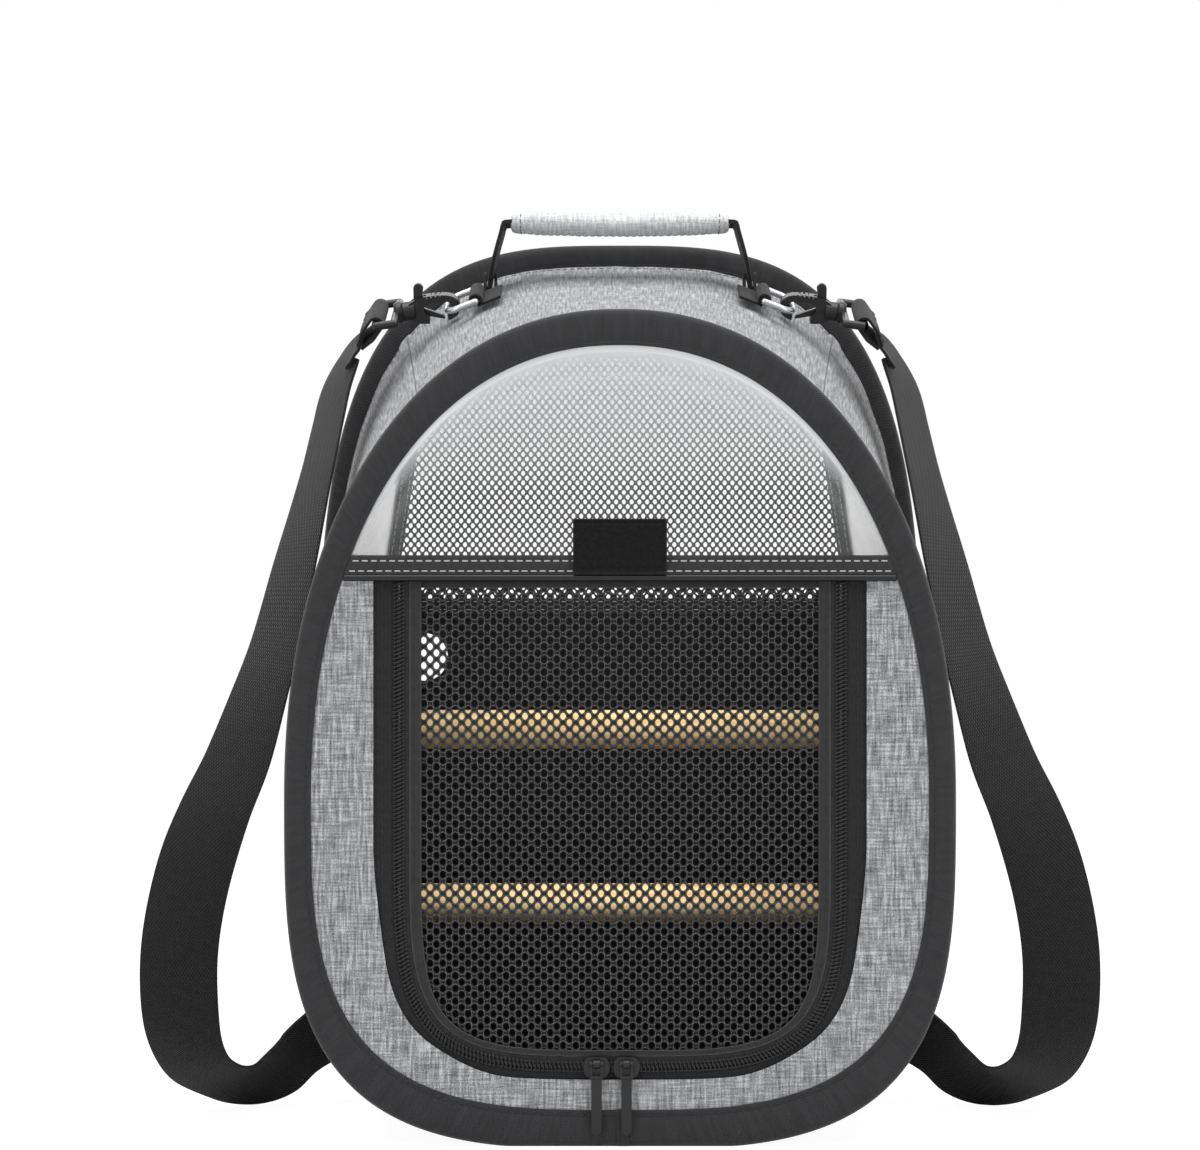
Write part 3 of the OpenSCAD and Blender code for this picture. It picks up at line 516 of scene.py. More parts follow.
# Melange polyester: grey yarns of uneven shade, so light and dark slubs run along both thread
# directions, most of them upright. Threads are drawn at 1.1 mm, coarser than the real 0.4 mm.
def melangeCloth(name, dark, middle, light):
    material, tree, shader = newFinish(name, {"in:Roughness": 0.88, "in:Sheen Weight": 0.25,
                                              "in:Sheen Roughness": 0.5, "in:Specular IOR Level": 0.25})
    vector, split = clothCoordinates(tree)
    upright = noiseAt(tree, vector, 1.0, (0.85, 0.07, 1), 2)
    level = noiseAt(tree, vector, 1.0, (0.07, 0.9, 1), 2)
    specks = noiseAt(tree, vector, 1.3, (1, 0.8, 1), 2)
    both = addNode(tree, "ShaderNodeMix", {"data_type": "FLOAT", "in:0": 0.42},
                   {"2": upright.outputs[0], "3": level.outputs[0]})
    both = addNode(tree, "ShaderNodeMix", {"data_type": "FLOAT", "in:0": 0.25},
                   {"2": both.outputs[0], "3": specks.outputs[0]})
    colour = ramp(tree, both.outputs[0], [(0.36, dark), (0.5, middle), (0.62, light)])
    tree.links.new(colour.outputs[0], shader.inputs["Base Color"])
    weave = plainWeave(tree, split, 1.1, 1.1)
    relief = addNode(tree, "ShaderNodeMath", {"operation": "MULTIPLY_ADD", "in:1": 0.35},
                     {"0": weave.outputs[0], "2": both.outputs[0]})
    addRelief(tree, shader, relief.outputs[0], 0.35, 0.6)
    return material


# Woven polyester tape or webbing, dyed black: ribs across it with a matt face and a faint sheen.
def blackWeave(name, base, lighter, across, along, depth, roughness=0.8, sheen=0.3):
    material, tree, shader = newFinish(name, {"in:Roughness": roughness, "in:Sheen Weight": sheen,
                                              "in:Sheen Roughness": 0.45, "in:Specular IOR Level": 0.3})
    vector, split = clothCoordinates(tree)
    weave = plainWeave(tree, split, across, along)
    cloudy = noiseAt(tree, vector, 0.35, (1, 0.4, 1), 3)
    shade = addNode(tree, "ShaderNodeMath", {"operation": "MULTIPLY_ADD", "in:1": 0.28},
                    {"0": weave.outputs[0], "2": cloudy.outputs[0]})
    colour = ramp(tree, shade.outputs[0], [(0.2, base), (0.85, lighter)])
    tree.links.new(colour.outputs[0], shader.inputs["Base Color"])
    addRelief(tree, shader, weave.outputs[0], depth, 0.8)
    return material


# Knitted polyester net: dull black yarn, with painted highlights in bright specks round each hole where the
# yarn would catch the light.
# cell and hole are half sizes in millimetres and start is the centre of one hole.
def knittedNet(name, base, lighter, paintedGlint, cell, hole, start):
    material, tree, shader = newFinish(name, {"in:Roughness": 0.7, "in:Sheen Weight": 0.15,
                                              "in:Specular IOR Level": 0.25})
    vector, split = clothCoordinates(tree)

    def math2(operation, a, b):
        links, settings = {}, {"operation": operation}
        for slot, value in (("0", a), ("1", b)):
            if isinstance(value, (int, float)):
                settings["in:" + slot] = value
            else:
                links[slot] = value
        return addNode(tree, "ShaderNodeMath", settings, links).outputs[0]

    # the rest paints highlights: a broken bright ring round each hole, where the yarn would catch the light
    u = math2("DIVIDE", math2("SUBTRACT", split.outputs["X"], start[0]), 2 * cell[0])
    v = math2("DIVIDE", math2("SUBTRACT", split.outputs["Y"], start[1]), 2 * cell[1])
    a = math2("SUBTRACT", math2("FRACT", math2("ADD", math2("ADD", u, v), 0.5), 0), 0.5)
    b = math2("SUBTRACT", math2("FRACT", math2("ADD", math2("SUBTRACT", u, v), 0.5), 0), 0.5)
    x = math2("MULTIPLY", math2("ADD", a, b), cell[0] / hole[0])
    z = math2("MULTIPLY", math2("SUBTRACT", a, b), cell[1] / hole[1])
    radius = math2("SQRT", math2("ADD", math2("MULTIPLY", x, x), math2("MULTIPLY", z, z)), 0)
    wander = noiseAt(tree, vector, 1.0, (1.1, 1.1, 1), 3)
    ring = math2("ADD", math2("MULTIPLY", wander.outputs[0], 0.5), 0.98)
    off = math2("ABSOLUTE", math2("SUBTRACT", radius, ring), 0)
    line = addNode(tree, "ShaderNodeMapRange", {"in:From Min": 0.02, "in:From Max": 0.075, "in:To Min": 1.0,
                                                "in:To Max": 0.0}, {"Value": off})
    broken = noiseAt(tree, vector, 1.0, (4.5, 4.5, 1), 2)
    paintedGlintSpeck = addNode(tree, "ShaderNodeMapRange", {"in:From Min": 0.42, "in:From Max": 0.62},
                    {"Value": broken.outputs[0]})
    share = math2("MULTIPLY", line.outputs[0], paintedGlintSpeck.outputs[0])
    yarn = ramp(tree, broken.outputs[0], [(0.3, base), (0.7, lighter)])
    colour = addNode(tree, "ShaderNodeMix", {"data_type": "RGBA", "in:7": hexToLinear(paintedGlint)},
                     {"0": share, "6": yarn.outputs[0]})
    tree.links.new(colour.outputs[2], shader.inputs["Base Color"])
    addRelief(tree, shader, broken.outputs[0], 0.15, 0.6)
    return material


# Injection-moulded acetal: near black with a satin skin and a very fine grit.
def mouldedPlastic(name, base, roughness):
    material, tree, shader = newFinish(name, {"in:Base Color": hexToLinear(base), "in:IOR": 1.48})
    place = addNode(tree, "ShaderNodeTexCoord")
    grit = noiseAt(tree, place.outputs["Object"], 900, (1, 1, 1), 4)
    rough = addNode(tree, "ShaderNodeMapRange",
                    {"in:To Min": roughness - 0.08, "in:To Max": roughness + 0.12},
                    {"Value": grit.outputs[0]})
    tree.links.new(rough.outputs[0], shader.inputs["Roughness"])
    addRelief(tree, shader, grit.outputs[0], 0.08, 0.25)
    return material


# Nickel-plated steel: bright, with the faint drawn lines and dulling of handled wire.
def platedSteel():
    material, tree, shader = newFinish("platedSteel", {"in:Base Color": hexToLinear("#c4c4c6"),
                                                       "in:Metallic": 1.0})
    place = addNode(tree, "ShaderNodeTexCoord")
    wear = noiseAt(tree, place.outputs["Object"], 260, (1, 1, 1), 4)
    rough = addNode(tree, "ShaderNodeMapRange", {"in:To Min": 0.16, "in:To Max": 0.38},
                    {"Value": wear.outputs[0]})
    tree.links.new(rough.outputs[0], shader.inputs["Roughness"])
    addRelief(tree, shader, wear.outputs[0], 0.03, 0.2)
    return material


# Turned beech dowel, unvarnished: long fine grain along the stick, small flecks and soft rings.
def beechDowel():
    material, tree, shader = newFinish("beechDowel", {"in:Roughness": 0.62, "in:Specular IOR Level": 0.3})
    place = addNode(tree, "ShaderNodeTexCoord")
    grain = noiseAt(tree, place.outputs["Object"], 1.0, (9, 420, 420), 5)
    rings = noiseAt(tree, place.outputs["Object"], 1.0, (2.5, 95, 95), 2)
    flecks = noiseAt(tree, place.outputs["Object"], 1.0, (60, 900, 900), 2)
    both = addNode(tree, "ShaderNodeMix", {"data_type": "FLOAT", "in:0": 0.45},
                   {"2": grain.outputs[0], "3": rings.outputs[0]})
    both = addNode(tree, "ShaderNodeMix", {"data_type": "FLOAT", "in:0": 0.2},
                   {"2": both.outputs[0], "3": flecks.outputs[0]})
    colour = ramp(tree, both.outputs[0], [(0.34, "#c99c58"), (0.5, "#ecce98"), (0.64, "#f8e2b6")])
    tree.links.new(colour.outputs[0], shader.inputs["Base Color"])
    addRelief(tree, shader, grain.outputs[0], 0.12, 0.4)
    return material


# Clear PVC film: it lets the inside show and mirrors the room at a slant. Towards its top a painted reflection
# makes it milky white, in place of the light above mirrored where it is bent, and a painted white highlight
# runs along its welted rim.
def clearFilm(half, middle, top, power):
    material, tree, shader = newFinish("clearFilm", {"in:Base Color": hexToLinear("#f2f4f5"),
                                                     "in:Roughness": 0.07, "in:IOR": 1.5})
    slant = addNode(tree, "ShaderNodeFresnel", {"in:IOR": 1.5})
    place = addNode(tree, "ShaderNodeTexCoord")
    haze = noiseAt(tree, place.outputs["Object"], 14, (1, 1, 0.5), 2)
    veil = addNode(tree, "ShaderNodeMath", {"operation": "MULTIPLY_ADD", "in:1": 0.05},
                   {"0": haze.outputs[0], "2": slant.outputs[0]})
    split = clothCoordinates(tree)[1]
    # painted reflection: milky white towards the top, in place of the light above mirrored in the bent film
    paintedTopReflection = addNode(tree, "ShaderNodeMapRange",
                    {"interpolation_type": "SMOOTHSTEP", "in:From Min": 300.0, "in:From Max": 392.0,
                     "in:To Max": 0.5}, {"Value": split.outputs["Y"]})
    # how near the arch's rim a point is: 1 on the arch's own line; the ramp below paints a white highlight band
    # there
    share = []
    for axis, start, reach in (("X", 0, half), ("Y", middle, top - middle)):
        part = addNode(tree, "ShaderNodeMath", {"operation": "SUBTRACT", "in:1": start},
                       {"0": split.outputs[axis]})
        part = addNode(tree, "ShaderNodeMath", {"operation": "ABSOLUTE"}, {"0": part.outputs[0]})
        part = addNode(tree, "ShaderNodeMath", {"operation": "DIVIDE", "in:1": reach}, {"0": part.outputs[0]})
        share.append(addNode(tree, "ShaderNodeMath", {"operation": "POWER", "in:1": power},
                             {"0": part.outputs[0]}))
    edge = addNode(tree, "ShaderNodeMath", {"operation": "ADD"},
                   {"0": share[0].outputs[0], "1": share[1].outputs[0]})
    # painted highlight: white bands along the rim of the arch
    rim = ramp(tree, edge.outputs[0],
               [(0.0, "#000000"), (0.80, "#000000"), (0.87, "#5a5a5a"), (0.9, "#2c2c2c"),
                (0.965, "#8a8a8a"), (0.985, "#ffffff"), (1.0, "#ffffff")])
    veil = addNode(tree, "ShaderNodeMath", {"operation": "MAXIMUM"},
                   {"0": veil.outputs[0], "1": paintedTopReflection.outputs[0]})
    # the painted rim highlight fades to about a third low on the sides
    high = addNode(tree, "ShaderNodeMapRange",
                   {"in:From Min": 296.0, "in:From Max": 340.0, "in:To Min": 0.35},
                   {"Value": split.outputs["Y"]})
    rim = addNode(tree, "ShaderNodeMath", {"operation": "MULTIPLY"},
                  {"0": rim.outputs[0], "1": high.outputs[0]})
    veil = addNode(tree, "ShaderNodeMath", {"operation": "ADD", "use_clamp": True},
                   {"0": veil.outputs[0], "1": rim.outputs[0]})
    tree.links.new(veil.outputs[0], shader.inputs["Alpha"])
    return material


# Hook-and-loop tape: a mat of fine nylon hooks, rough and almost without shine.
def hookMat():
    material, tree, shader = newFinish("nylonHookMat", {"in:Roughness": 0.95, "in:Sheen Weight": 0.1,
                                                        "in:Sheen Roughness": 0.6,
                                                        "in:Specular IOR Level": 0.2})
    place = addNode(tree, "ShaderNodeTexCoord")
    tufts = noiseAt(tree, place.outputs["Object"], 700, (1, 1, 1), 5)
    colour = ramp(tree, tufts.outputs[0], [(0.35, "#040405"), (0.7, "#131314")])
    tree.links.new(colour.outputs[0], shader.inputs["Base Color"])
    addRelief(tree, shader, tufts.outputs[0], 0.6, 1.0)
    return material


finish = {
    "heather": melangeCloth("melangePolyester", "#5e5f61", "#9b9c9e", "#d2d3d5"),
    # the sleeve's melange is a lighter copy of the body's: painted light, for the light from above that falls
    # on the handle
    "sleeve": melangeCloth("melangeSleevePaintedLighter", "#a9aaac", "#dadbdc", "#fafafa"),
    "binding": blackWeave("wovenBindingTape", "#262628", "#38383a", 1.2, 0.9, 0.12),
    "strap": blackWeave("ribbedStrapWebbing", "#0d0d0e", "#1d1d1e", 2.4, 1.5, 0.3, 0.75, 0.15),
    "band": blackWeave("bandWebbing", "#29292a", "#3c3c3e", 1.6, 1.2, 0.2),
    "zipTape": blackWeave("zipTapeWeave", "#161617", "#2a2a2c", 1.4, 1.0, 0.15),
    # the door net's painted highlight colour is the light grey #a8a8aa
    "net": knittedNet("doorNetKnit", "#090909", "#141415", "#a8a8aa", (3.11, 3.11), (1.5, 1.86), (0, 39.89)),
    "netGrey": blackWeave("windowNet", "#121213", "#2e2e30", 0.9, 0.9, 0.15, 0.65, 0.2),
    "base": blackWeave("coatedBaseCloth", "#1d1d1f", "#2d2d2f", 1.0, 1.0, 0.12, 0.7, 0.15),
    "lining": blackWeave("blackLiningCloth", "#0d0d0e", "#1a1a1b", 1.2, 1.2, 0.12, 0.85, 0.1),
    "board": blackWeave("coveredBoard", "#101011", "#1e1e20", 1.4, 1.4, 0.12, 0.85, 0.1),
    "seamTape": blackWeave("windowSeamTape", "#151516", "#202021", 1.0, 1.0, 0.1),
    "plastic": mouldedPlastic("mouldedAcetal", "#121213", 0.34),
    "coil": mouldedPlastic("nylonCoil", "#19191a", 0.4),
    "pull": mouldedPlastic("softPullRubber", "#171718", 0.5),
    "steel": platedSteel(),
    "wood": beechDowel(),
    "film": clearFilm(151.5, 170, 393, 2.17),
    # near-white sheet colour: painted light for the bright background seen through the window
    "pale": blackWeave("paleSheetPaintedLight", "#efeff0", "#fafafa", 1.1, 1.1, 0.1),
    "hooks": hookMat(),
}
paleThread = newFinish("paleStitchThread", {"in:Base Color": hexToLinear("#b9b9ba"), "in:Roughness": 0.7})[0]
blackThread = newFinish("blackStitchThread",
                        {"in:Base Color": hexToLinear("#1b1b1c"), "in:Roughness": 0.6})[0]
greyThread = newFinish("greyStitchThread", {"in:Base Color": hexToLinear("#77787a"), "in:Roughness": 0.7})[0]
glossEdge = newFinish("glossyPiping", {"in:Base Color": hexToLinear("#0b0b0c"), "in:Roughness": 0.16})[0]
print("stage: finishes")


# ---------- hoops and their bindings ----------

# Each profile point is (share of the band's width, millimetres from it, depth). The tape is
# folded round the hoop wire; a shallow groove lies where the stitches pull it down.
bindingFold = {
    "stations": 320,
    "profile": [(1, 0, 1.2), (1, 0, 0.25), (1, -0.5, 0), (1, -1.8, -0.1), (1, -2.7, 0.28), (1, -3.6, -0.05),
                (0.62, 0, -0.3), (0.35, 0, -0.35), (0, 3, -0.1), (0, 1.4, 0.6), (0, 0.5, 1.5), (0, 0.05, 2.6),
                (0, 0, 3.5), (0, 0.05, 4.4), (0, 0.5, 5.5), (0, 1.4, 6.4), (0, 3, 7.1), (0.35, 0, 7.35),
                (0.62, 0, 7.3), (1, -3.6, 7.05), (1, -2.7, 6.72), (1, -1.8, 7.1), (1, -0.5, 7), (1, 0, 6.75),
                (1, 0, 5.8), (0, 3, 5.8), (0, 1.5, 4.7), (0, 1.5, 2.3), (0, 3, 1.2), (1, 0, 1.2)],
    "stitchPitch": 4.2,
    "stitch": (2.9, 0.7, 0.5),
    "stitchIn": 2.7,
}


def bandPoint(outer, inner, degrees, startY, fold):
    a, b = onOutline(outer, degrees), onOutline(inner, degrees)
    a.y = max(a.y, 0)
    w = (b - a).length
    q = a + (b - a) * (fold[0] + fold[1] / w)
    return Vector((q.x, startY + fold[2], q.y))


def hoopBinding(name, outer, inner, startY, replaced, slotName):
    profile = bindingFold["profile"]
    last = len(profile) - 1

    def form(u, v):
        k = min(round(v * last), last)
        angle = 360 * (u % 1)
        fold = profile[k]
        place = bandPoint(outer, inner, angle, startY, fold)
        pucker = noise.noise(Vector((math.cos(math.radians(angle)) * 9, math.sin(math.radians(angle)) * 9,
                                     startY)))
        ripple = math.sin(math.radians(angle) * 150)
        if fold[2] < 0 or fold[2] > 7:
            place.y += (0.22 * pucker + 0.05 * ripple) * (1 if fold[2] > 3 else -1)
        return place * mm

    band = formedGrid(name, bindingFold["stations"], last, form, True, True, (1270, 46))
    outward(band)
    smooth(band, 60)
    dress(band, finish["binding"], "root", replaced, slotName=slotName)
    return band


hoopBinding("frontHoopBinding", cabin["frontOuter"], cabin["frontInner"], -95, "front_binding",
            "binding_tape")
hoopBinding("backHoopBinding", cabin["backOuter"], cabin["backInner"], 88, "back_binding",
            "binding_tape")


def hoopStitches(name, outer, inner, startY, depth, facing):
    frames = []
    for k in range(361):
        p = bandPoint(outer, inner, k - 90, startY, (1, -bindingFold["stitchIn"], depth))
        frames.append((p * mm, Vector((0, facing, 0))))
    return stitchRow(name, frames, bindingFold["stitchPitch"], bindingFold["stitch"], blackThread, "root")


hoopStitches("frontHoopStitches", cabin["frontOuter"], cabin["frontInner"], -95, 0.2, -1)
hoopStitches("backHoopStitches", cabin["backOuter"], cabin["backInner"], 88, 6.8, 1)
hoopStitches("backHoopInnerStitches", cabin["backOuter"], cabin["backInner"], 88, 0.2, -1)


# The tape's two ends lap over each other at the foot of the front hoop.
lapPatch = {"from": -1.5, "to": 4.5, "thick": 0.9, "degreesPerMm": 57.3 / 171.5}


def bindingLap():
    profile = [(1, 0.3, 1.1), (1, 0.3, -0.2), (1, -0.6, -0.55), (1, -2.6, -0.5), (0.6, 0, -0.95),
               (0.35, 0, -1), (0, 3, -0.8), (0, 1, 0.1), (0, 0.1, 1.2)]
    last = len(profile) - 1

    def form(u, v):
        angle = -90 + mix(lapPatch["from"], lapPatch["to"], u) * lapPatch["degreesPerMm"]
        return bandPoint(cabin["frontOuter"], cabin["frontInner"], angle, -95, profile[round(v * last)]) * mm

    lap = formedGrid("hoopTapeLap", 6, last, form, uvSize=(6, 22))
    faceTo(lap, (0, -1, 0))
    applyModifier(lap, "SOLIDIFY", thickness=lapPatch["thick"] * mm, offset=-1)
    applyModifier(lap, "BEVEL", width=0.25 * mm, segments=2)
    smooth(lap, 50)
    dress(lap, finish["binding"], "root")


bindingLap()
print("stage: hoop bindings")


# ---------- gusset, the cloth between the hoops ----------

gussetCloth = {"topSeam": 62, "baseSeam": -52, "pucker": 0.5, "wave": 0.9, "thickness": 1.4}


def gussetPoint(degrees, y, inward=0.0):
    outline = inset(seamAt(y), inward)
    p = onOutline(outline, degrees)
    return Vector((p.x, y, p.y))


def gussetSheet(name, start, end, across, material, replaced, slotName):
    length = 0
    before = None
    for k in range(41):
        p = onOutline(cabin["backSeam"], mix(start, end, k / 40))
        length += (p - before).length if before is not None else 0
        before = p
    depth = cabin["gussetBack"] - cabin["gussetFront"]

    def form(u, v):
        degrees = mix(start, end, u)
        y = mix(cabin["gussetFront"], cabin["gussetBack"], v)
        edge = 4 * v * (1 - v)
        wave = noise.noise(Vector((u * length / 55, v * depth / 70, start))) * gussetCloth["wave"]
        pucker = noise.noise(Vector((u * length / 9, v * 2.5, end))) * gussetCloth["pucker"] * (1 - edge)
        inward = max(0.15, 0.5 + wave * edge + pucker)
        return gussetPoint(degrees, y, inward) * mm

    sheet = formedGrid(name, across, 44, form, uvSize=(length, depth))
    faceAway(sheet, (0, 0, 0.2))
    applyModifier(sheet, "SOLIDIFY", thickness=gussetCloth["thickness"] * mm, offset=-1)
    smooth(sheet, 50)
    dress(sheet, material, "root", replaced, slotName=slotName)
    return sheet


top, low = gussetCloth["topSeam"], gussetCloth["baseSeam"]
gussetSheet("gussetTopCloth", top, 180 - top, 90, finish["heather"], "gusset_top", "heather_cloth")
gussetSheet("gussetRightCloth", low, top, 140, finish["heather"], "gusset_right", "heather_cloth")
gussetSheet("gussetLeftCloth", 180 - top, 180 - low, 140, finish["heather"], "gusset_left", "heather_cloth")
gussetSheet("baseCloth", 180 - low, 360 + low, 110, finish["base"], "base_panel", "base_cloth")


# Each gusset seam is a raised felled seam with one row of stitches beside it.
felledSeam = {"width": 6.5, "rise": 0.7, "stitchPitch": 3.6, "stitch": (2.4, 0.6, 0.4)}


def gussetSeam(name, degrees, side, material):
    half = felledSeam["width"] / 2

    def form(u, v):
        y = mix(cabin["gussetFront"] + 0.5, cabin["gussetBack"] - 0.5, v)
        across = mix(-half, half, u)
        swell = max(0.0, 1 - (2 * u - 1) ** 4)
        turn = math.degrees(across / 175) * side
        return gussetPoint(degrees + turn, y, 0.25 - felledSeam["rise"] * swell) * mm

    seam = formedGrid(name, 8, 60, form, uvSize=(felledSeam["width"], 176))
    faceAway(seam, (0, 0, 0.2))
    applyModifier(seam, "SOLIDIFY", thickness=0.8 * mm, offset=-1)
    smooth(seam, 60)
    dress(seam, material, "root")
    frames = []
    for k in range(45):
        y = mix(cabin["gussetFront"] + 3, cabin["gussetBack"] - 3, k / 44)
        p = gussetPoint(degrees + math.degrees(half * 0.55 / 175) * side, y, -felledSeam["rise"] + 0.2)
        p2 = gussetPoint(degrees + math.degrees(half * 0.55 / 175) * side, y, -felledSeam["rise"] - 1)
        frames.append((p * mm, (p2 - p).normalized()))
    stitchRow(name + "Stitches", frames, felledSeam["stitchPitch"], felledSeam["stitch"], greyThread, "root")


gussetSeam("topSeamRight", top, 1, finish["heather"])
gussetSeam("topSeamLeft", 180 - top, -1, finish["heather"])
gussetSeam("baseSeamRight", low, -1, finish["heather"])
gussetSeam("baseSeamLeft", 180 - low, 1, finish["heather"])


# A row of stitches runs round the gusset beside the back hoop binding.
def gussetEdgeStitches(name, y, start, end):
    frames = []
    for k in range(181):
        degrees = mix(start, end, k / 180)
        p, q = gussetPoint(degrees, y, 0.3), gussetPoint(degrees, y, -1)
        frames.append((p * mm, (q - p).normalized()))
    stitchRow(name, frames, 4, (2.7, 0.6, 0.5), greyThread, "root")


gussetEdgeStitches("backEdgeStitches", cabin["gussetBack"] - 4.5, low, 180 - low)
print("stage: gusset")


# ---------- front panel, window and cross band ----------

front = {
    "panelY": -93.7, "clothThickness": 1.6, "bandSplit": 284,
    "opening": (121, 150, 338, 32.8, 8, 4),
    "cornerGain": 3.4,        # how far the cloth closes in on the zip at the lower corners
    "paneY": -93.7, "paneThickness": 0.5,
}
frontCut = inset(cabin["frontInner"], -6)


def closeIn(p):
    # the straight run under the door, where the sliders travel, stays as wide as it is
    low = min(1, max(0, (150 - p.y) / 60))
    out = min(1, max(0, (abs(p.x) - 54) / 42))
    gain = front["cornerGain"] * low * low * (3 - 2 * low) * out * out * (3 - 2 * out)
    return Vector((p.x - math.copysign(gain, p.x), p.y + gain))


def frontPanelSheet():
    inside = [closeIn(p) for p in uPath(front["opening"], front["bandSplit"])]
    insideLengths = pathLengths(inside)
    first = 180 - directionAt(frontCut, front["bandSplit"])
    last = 360 + directionAt(frontCut, front["bandSplit"])
    outside = [onOutline(frontCut, mix(first, last, k / 400)) for k in range(401)]
    outsideLengths = pathLengths(outside)

    def form(u, v):
        a = alongPath(inside, insideLengths, u)[0]
        b = alongPath(outside, outsideLengths, u)[0]
        p = a.lerp(b, v)
        puff = math.sin(math.pi * v) ** 0.7
        ripple = (noise.noise(Vector((p.x / 40, p.y / 55, 1))) * 0.6
                  + noise.noise(Vector((p.x / 14, p.y / 30, 5))) * 0.25)
        return Vector((p.x, front["panelY"] - 0.05 - 0.5 * puff * (1 + ripple), p.y)) * mm

    sheet = formedGrid("frontPanelCloth", 220, 16, form)
    flatUv(sheet)
    faceTo(sheet, (0, -1, 0))
    applyModifier(sheet, "SOLIDIFY", thickness=front["clothThickness"] * mm, offset=-1)
    smooth(sheet, 50)
    dress(sheet, finish["heather"], "root", "front_panel", slotName="heather_cloth")


def windowSheet():
    low = front["bandSplit"] + 0.1

    def form(u, v):
        z = mix(low, frontCut[2] - 0.3, 1 - (1 - v) ** 1.6)
        x = mix(-1, 1, u) * widthAt(frontCut, z)
        bulge = 1.0 * math.sin(math.pi * v) * math.cos(math.pi * (u - 0.5))
        wave = noise.noise(Vector((x / 60, z / 45, 3))) * 0.5
        return Vector((x, front["paneY"] + bulge + wave * math.sin(math.pi * v), z)) * mm

    sheet = formedGrid("windowFilm", 72, 40, form, closeAcross=True)
    flatUv(sheet)
    faceTo(sheet, (0, -1, 0))
    applyModifier(sheet, "SOLIDIFY", thickness=front["paneThickness"] * mm, offset=-1)
    smooth(sheet, 50)
    dress(sheet, finish["film"], "root", "window_pane", slotName="clear_film")


frontPanelSheet()
windowSheet()

crossBand = {
    "low": 278, "high": 290, "faceY": -95, "thickness": 1.0,
    "rows": (282.2, 287.2), "stitchPitch": 4.4, "stitch": (3.0, 0.75, 0.5),
    "pipeRadius": 1.7,
}


def crossBandPieces():
    rises = [(0, 0.5), (0.04, 0.1), (0.12, -0.15), (0.3, -0.05), (0.35, 0.12), (0.4, -0.05), (0.6, -0.15),
             (0.72, -0.05), (0.77, 0.12), (0.82, -0.05), (0.94, -0.1), (1, 0.5)]
    last = len(rises) - 1
    inner = inset(cabin["frontInner"], 0.1)

    def form(u, v):
        share, rise = rises[round(v * last)]
        z = mix(crossBand["low"], crossBand["high"], share)
        x = mix(-1, 1, u) * widthAt(inner, z)
        sag = 0.12 * noise.noise(Vector((x / 12, 2, 2)))
        return Vector((x, crossBand["faceY"] + rise + sag, z)) * mm

    band = formedGrid("crossBandTape", 160, last, form)
    flatUv(band)
    faceTo(band, (0, -1, 0))
    applyModifier(band, "SOLIDIFY", thickness=crossBand["thickness"] * mm, offset=-1)
    smooth(band, 50)
    dress(band, finish["band"], "root", "cross_band", slotName="band_webbing")
    for index, z in enumerate(crossBand["rows"]):
        reach = widthAt(inner, z) - 1
        frames = [(Vector((mix(-reach, reach, k / 60), crossBand["faceY"] + 0.02, z)) * mm,
                   Vector((0, -1, 0))) for k in range(61)]
        stitchRow("bandStitches" + str(index), frames, crossBand["stitchPitch"], crossBand["stitch"],
                  paleThread, "root")
    reach = widthAt(inner, crossBand["low"]) - 0.5
    place = (0, (crossBand["faceY"] + 0.4) * mm, (crossBand["low"] + 0.9) * mm)
    bpy.ops.mesh.primitive_cylinder_add(vertices=16, radius=crossBand["pipeRadius"] * mm,
                                        depth=2 * reach * mm, location=place,
                                        rotation=(0, math.radians(90), 0))
    pipe = bpy.context.active_object
    pipe.name = "bandPiping"
    settle(pipe)
    editMesh(pipe, (bpy.ops.mesh.bevel, {"offset": 0.4 * mm, "segments": 2, "affect": "EDGES"}))
    smooth(pipe, 50)
    dress(pipe, glossEdge, "root")


crossBandPieces()

closureTab = {"width": 46, "height": 26, "low": 281.8, "faceY": -97.5, "thickness": 2.4, "nap": 0.45}


def closureTabMat():
    bpy.ops.mesh.primitive_cube_add(size=1)
    tab = bpy.context.active_object
    tab.name = "hookAndLoopTab"
    tab.scale = (closureTab["width"] * mm, closureTab["thickness"] * mm, closureTab["height"] * mm)
    tab.location = (0, (closureTab["faceY"] + closureTab["thickness"] / 2) * mm,
                    (closureTab["low"] + closureTab["height"] / 2) * mm)
    settle(tab)
    applyModifier(tab, "BEVEL", width=0.8 * mm, segments=2)
    editMesh(tab, (bpy.ops.mesh.subdivide, {"number_cuts": 40}))
    for vertex in tab.data.vertices:
        if vertex.co.y < (closureTab["faceY"] + 1) * mm:
            fuzz = noise.noise(vertex.co * 1400) * 0.6 + noise.noise(vertex.co * 420) * 0.5
            vertex.co.y -= (fuzz * closureTab["nap"]) * mm
            border = min(abs(abs(vertex.co.x / mm) - closureTab["width"] / 2),
                         abs(abs(vertex.co.z / mm - closureTab["low"] - 13) - 13))
            vertex.co.y += 0.5 * mm * math.exp(-((border - 1.8) / 0.7) ** 2)
    smooth(tab, 40)
    dress(tab, finish["hooks"], "root", "closure_tab", slotName="hook_and_loop")


closureTabMat()
print("stage: front panel, window and band")


# ---------- door: net, binding and coil zip ----------

door = {
    "top": 277.7,
    "zipLine": (108.4, 150, 338, 39, 8, 4),
    "netEdge": (97.5, 150, 338, 46.7, 8, 4),
    "teethY": -93.5, "teethThickness": 1.5, "netY": -91.1,
}


def zipPath(top=277.7, steps=160):
    return uPath(door["zipLine"], top, steps)


def outwardAt(direction):
    # the zip path runs down the left, under the door and up the right
    return Vector((direction.y, -direction.x))


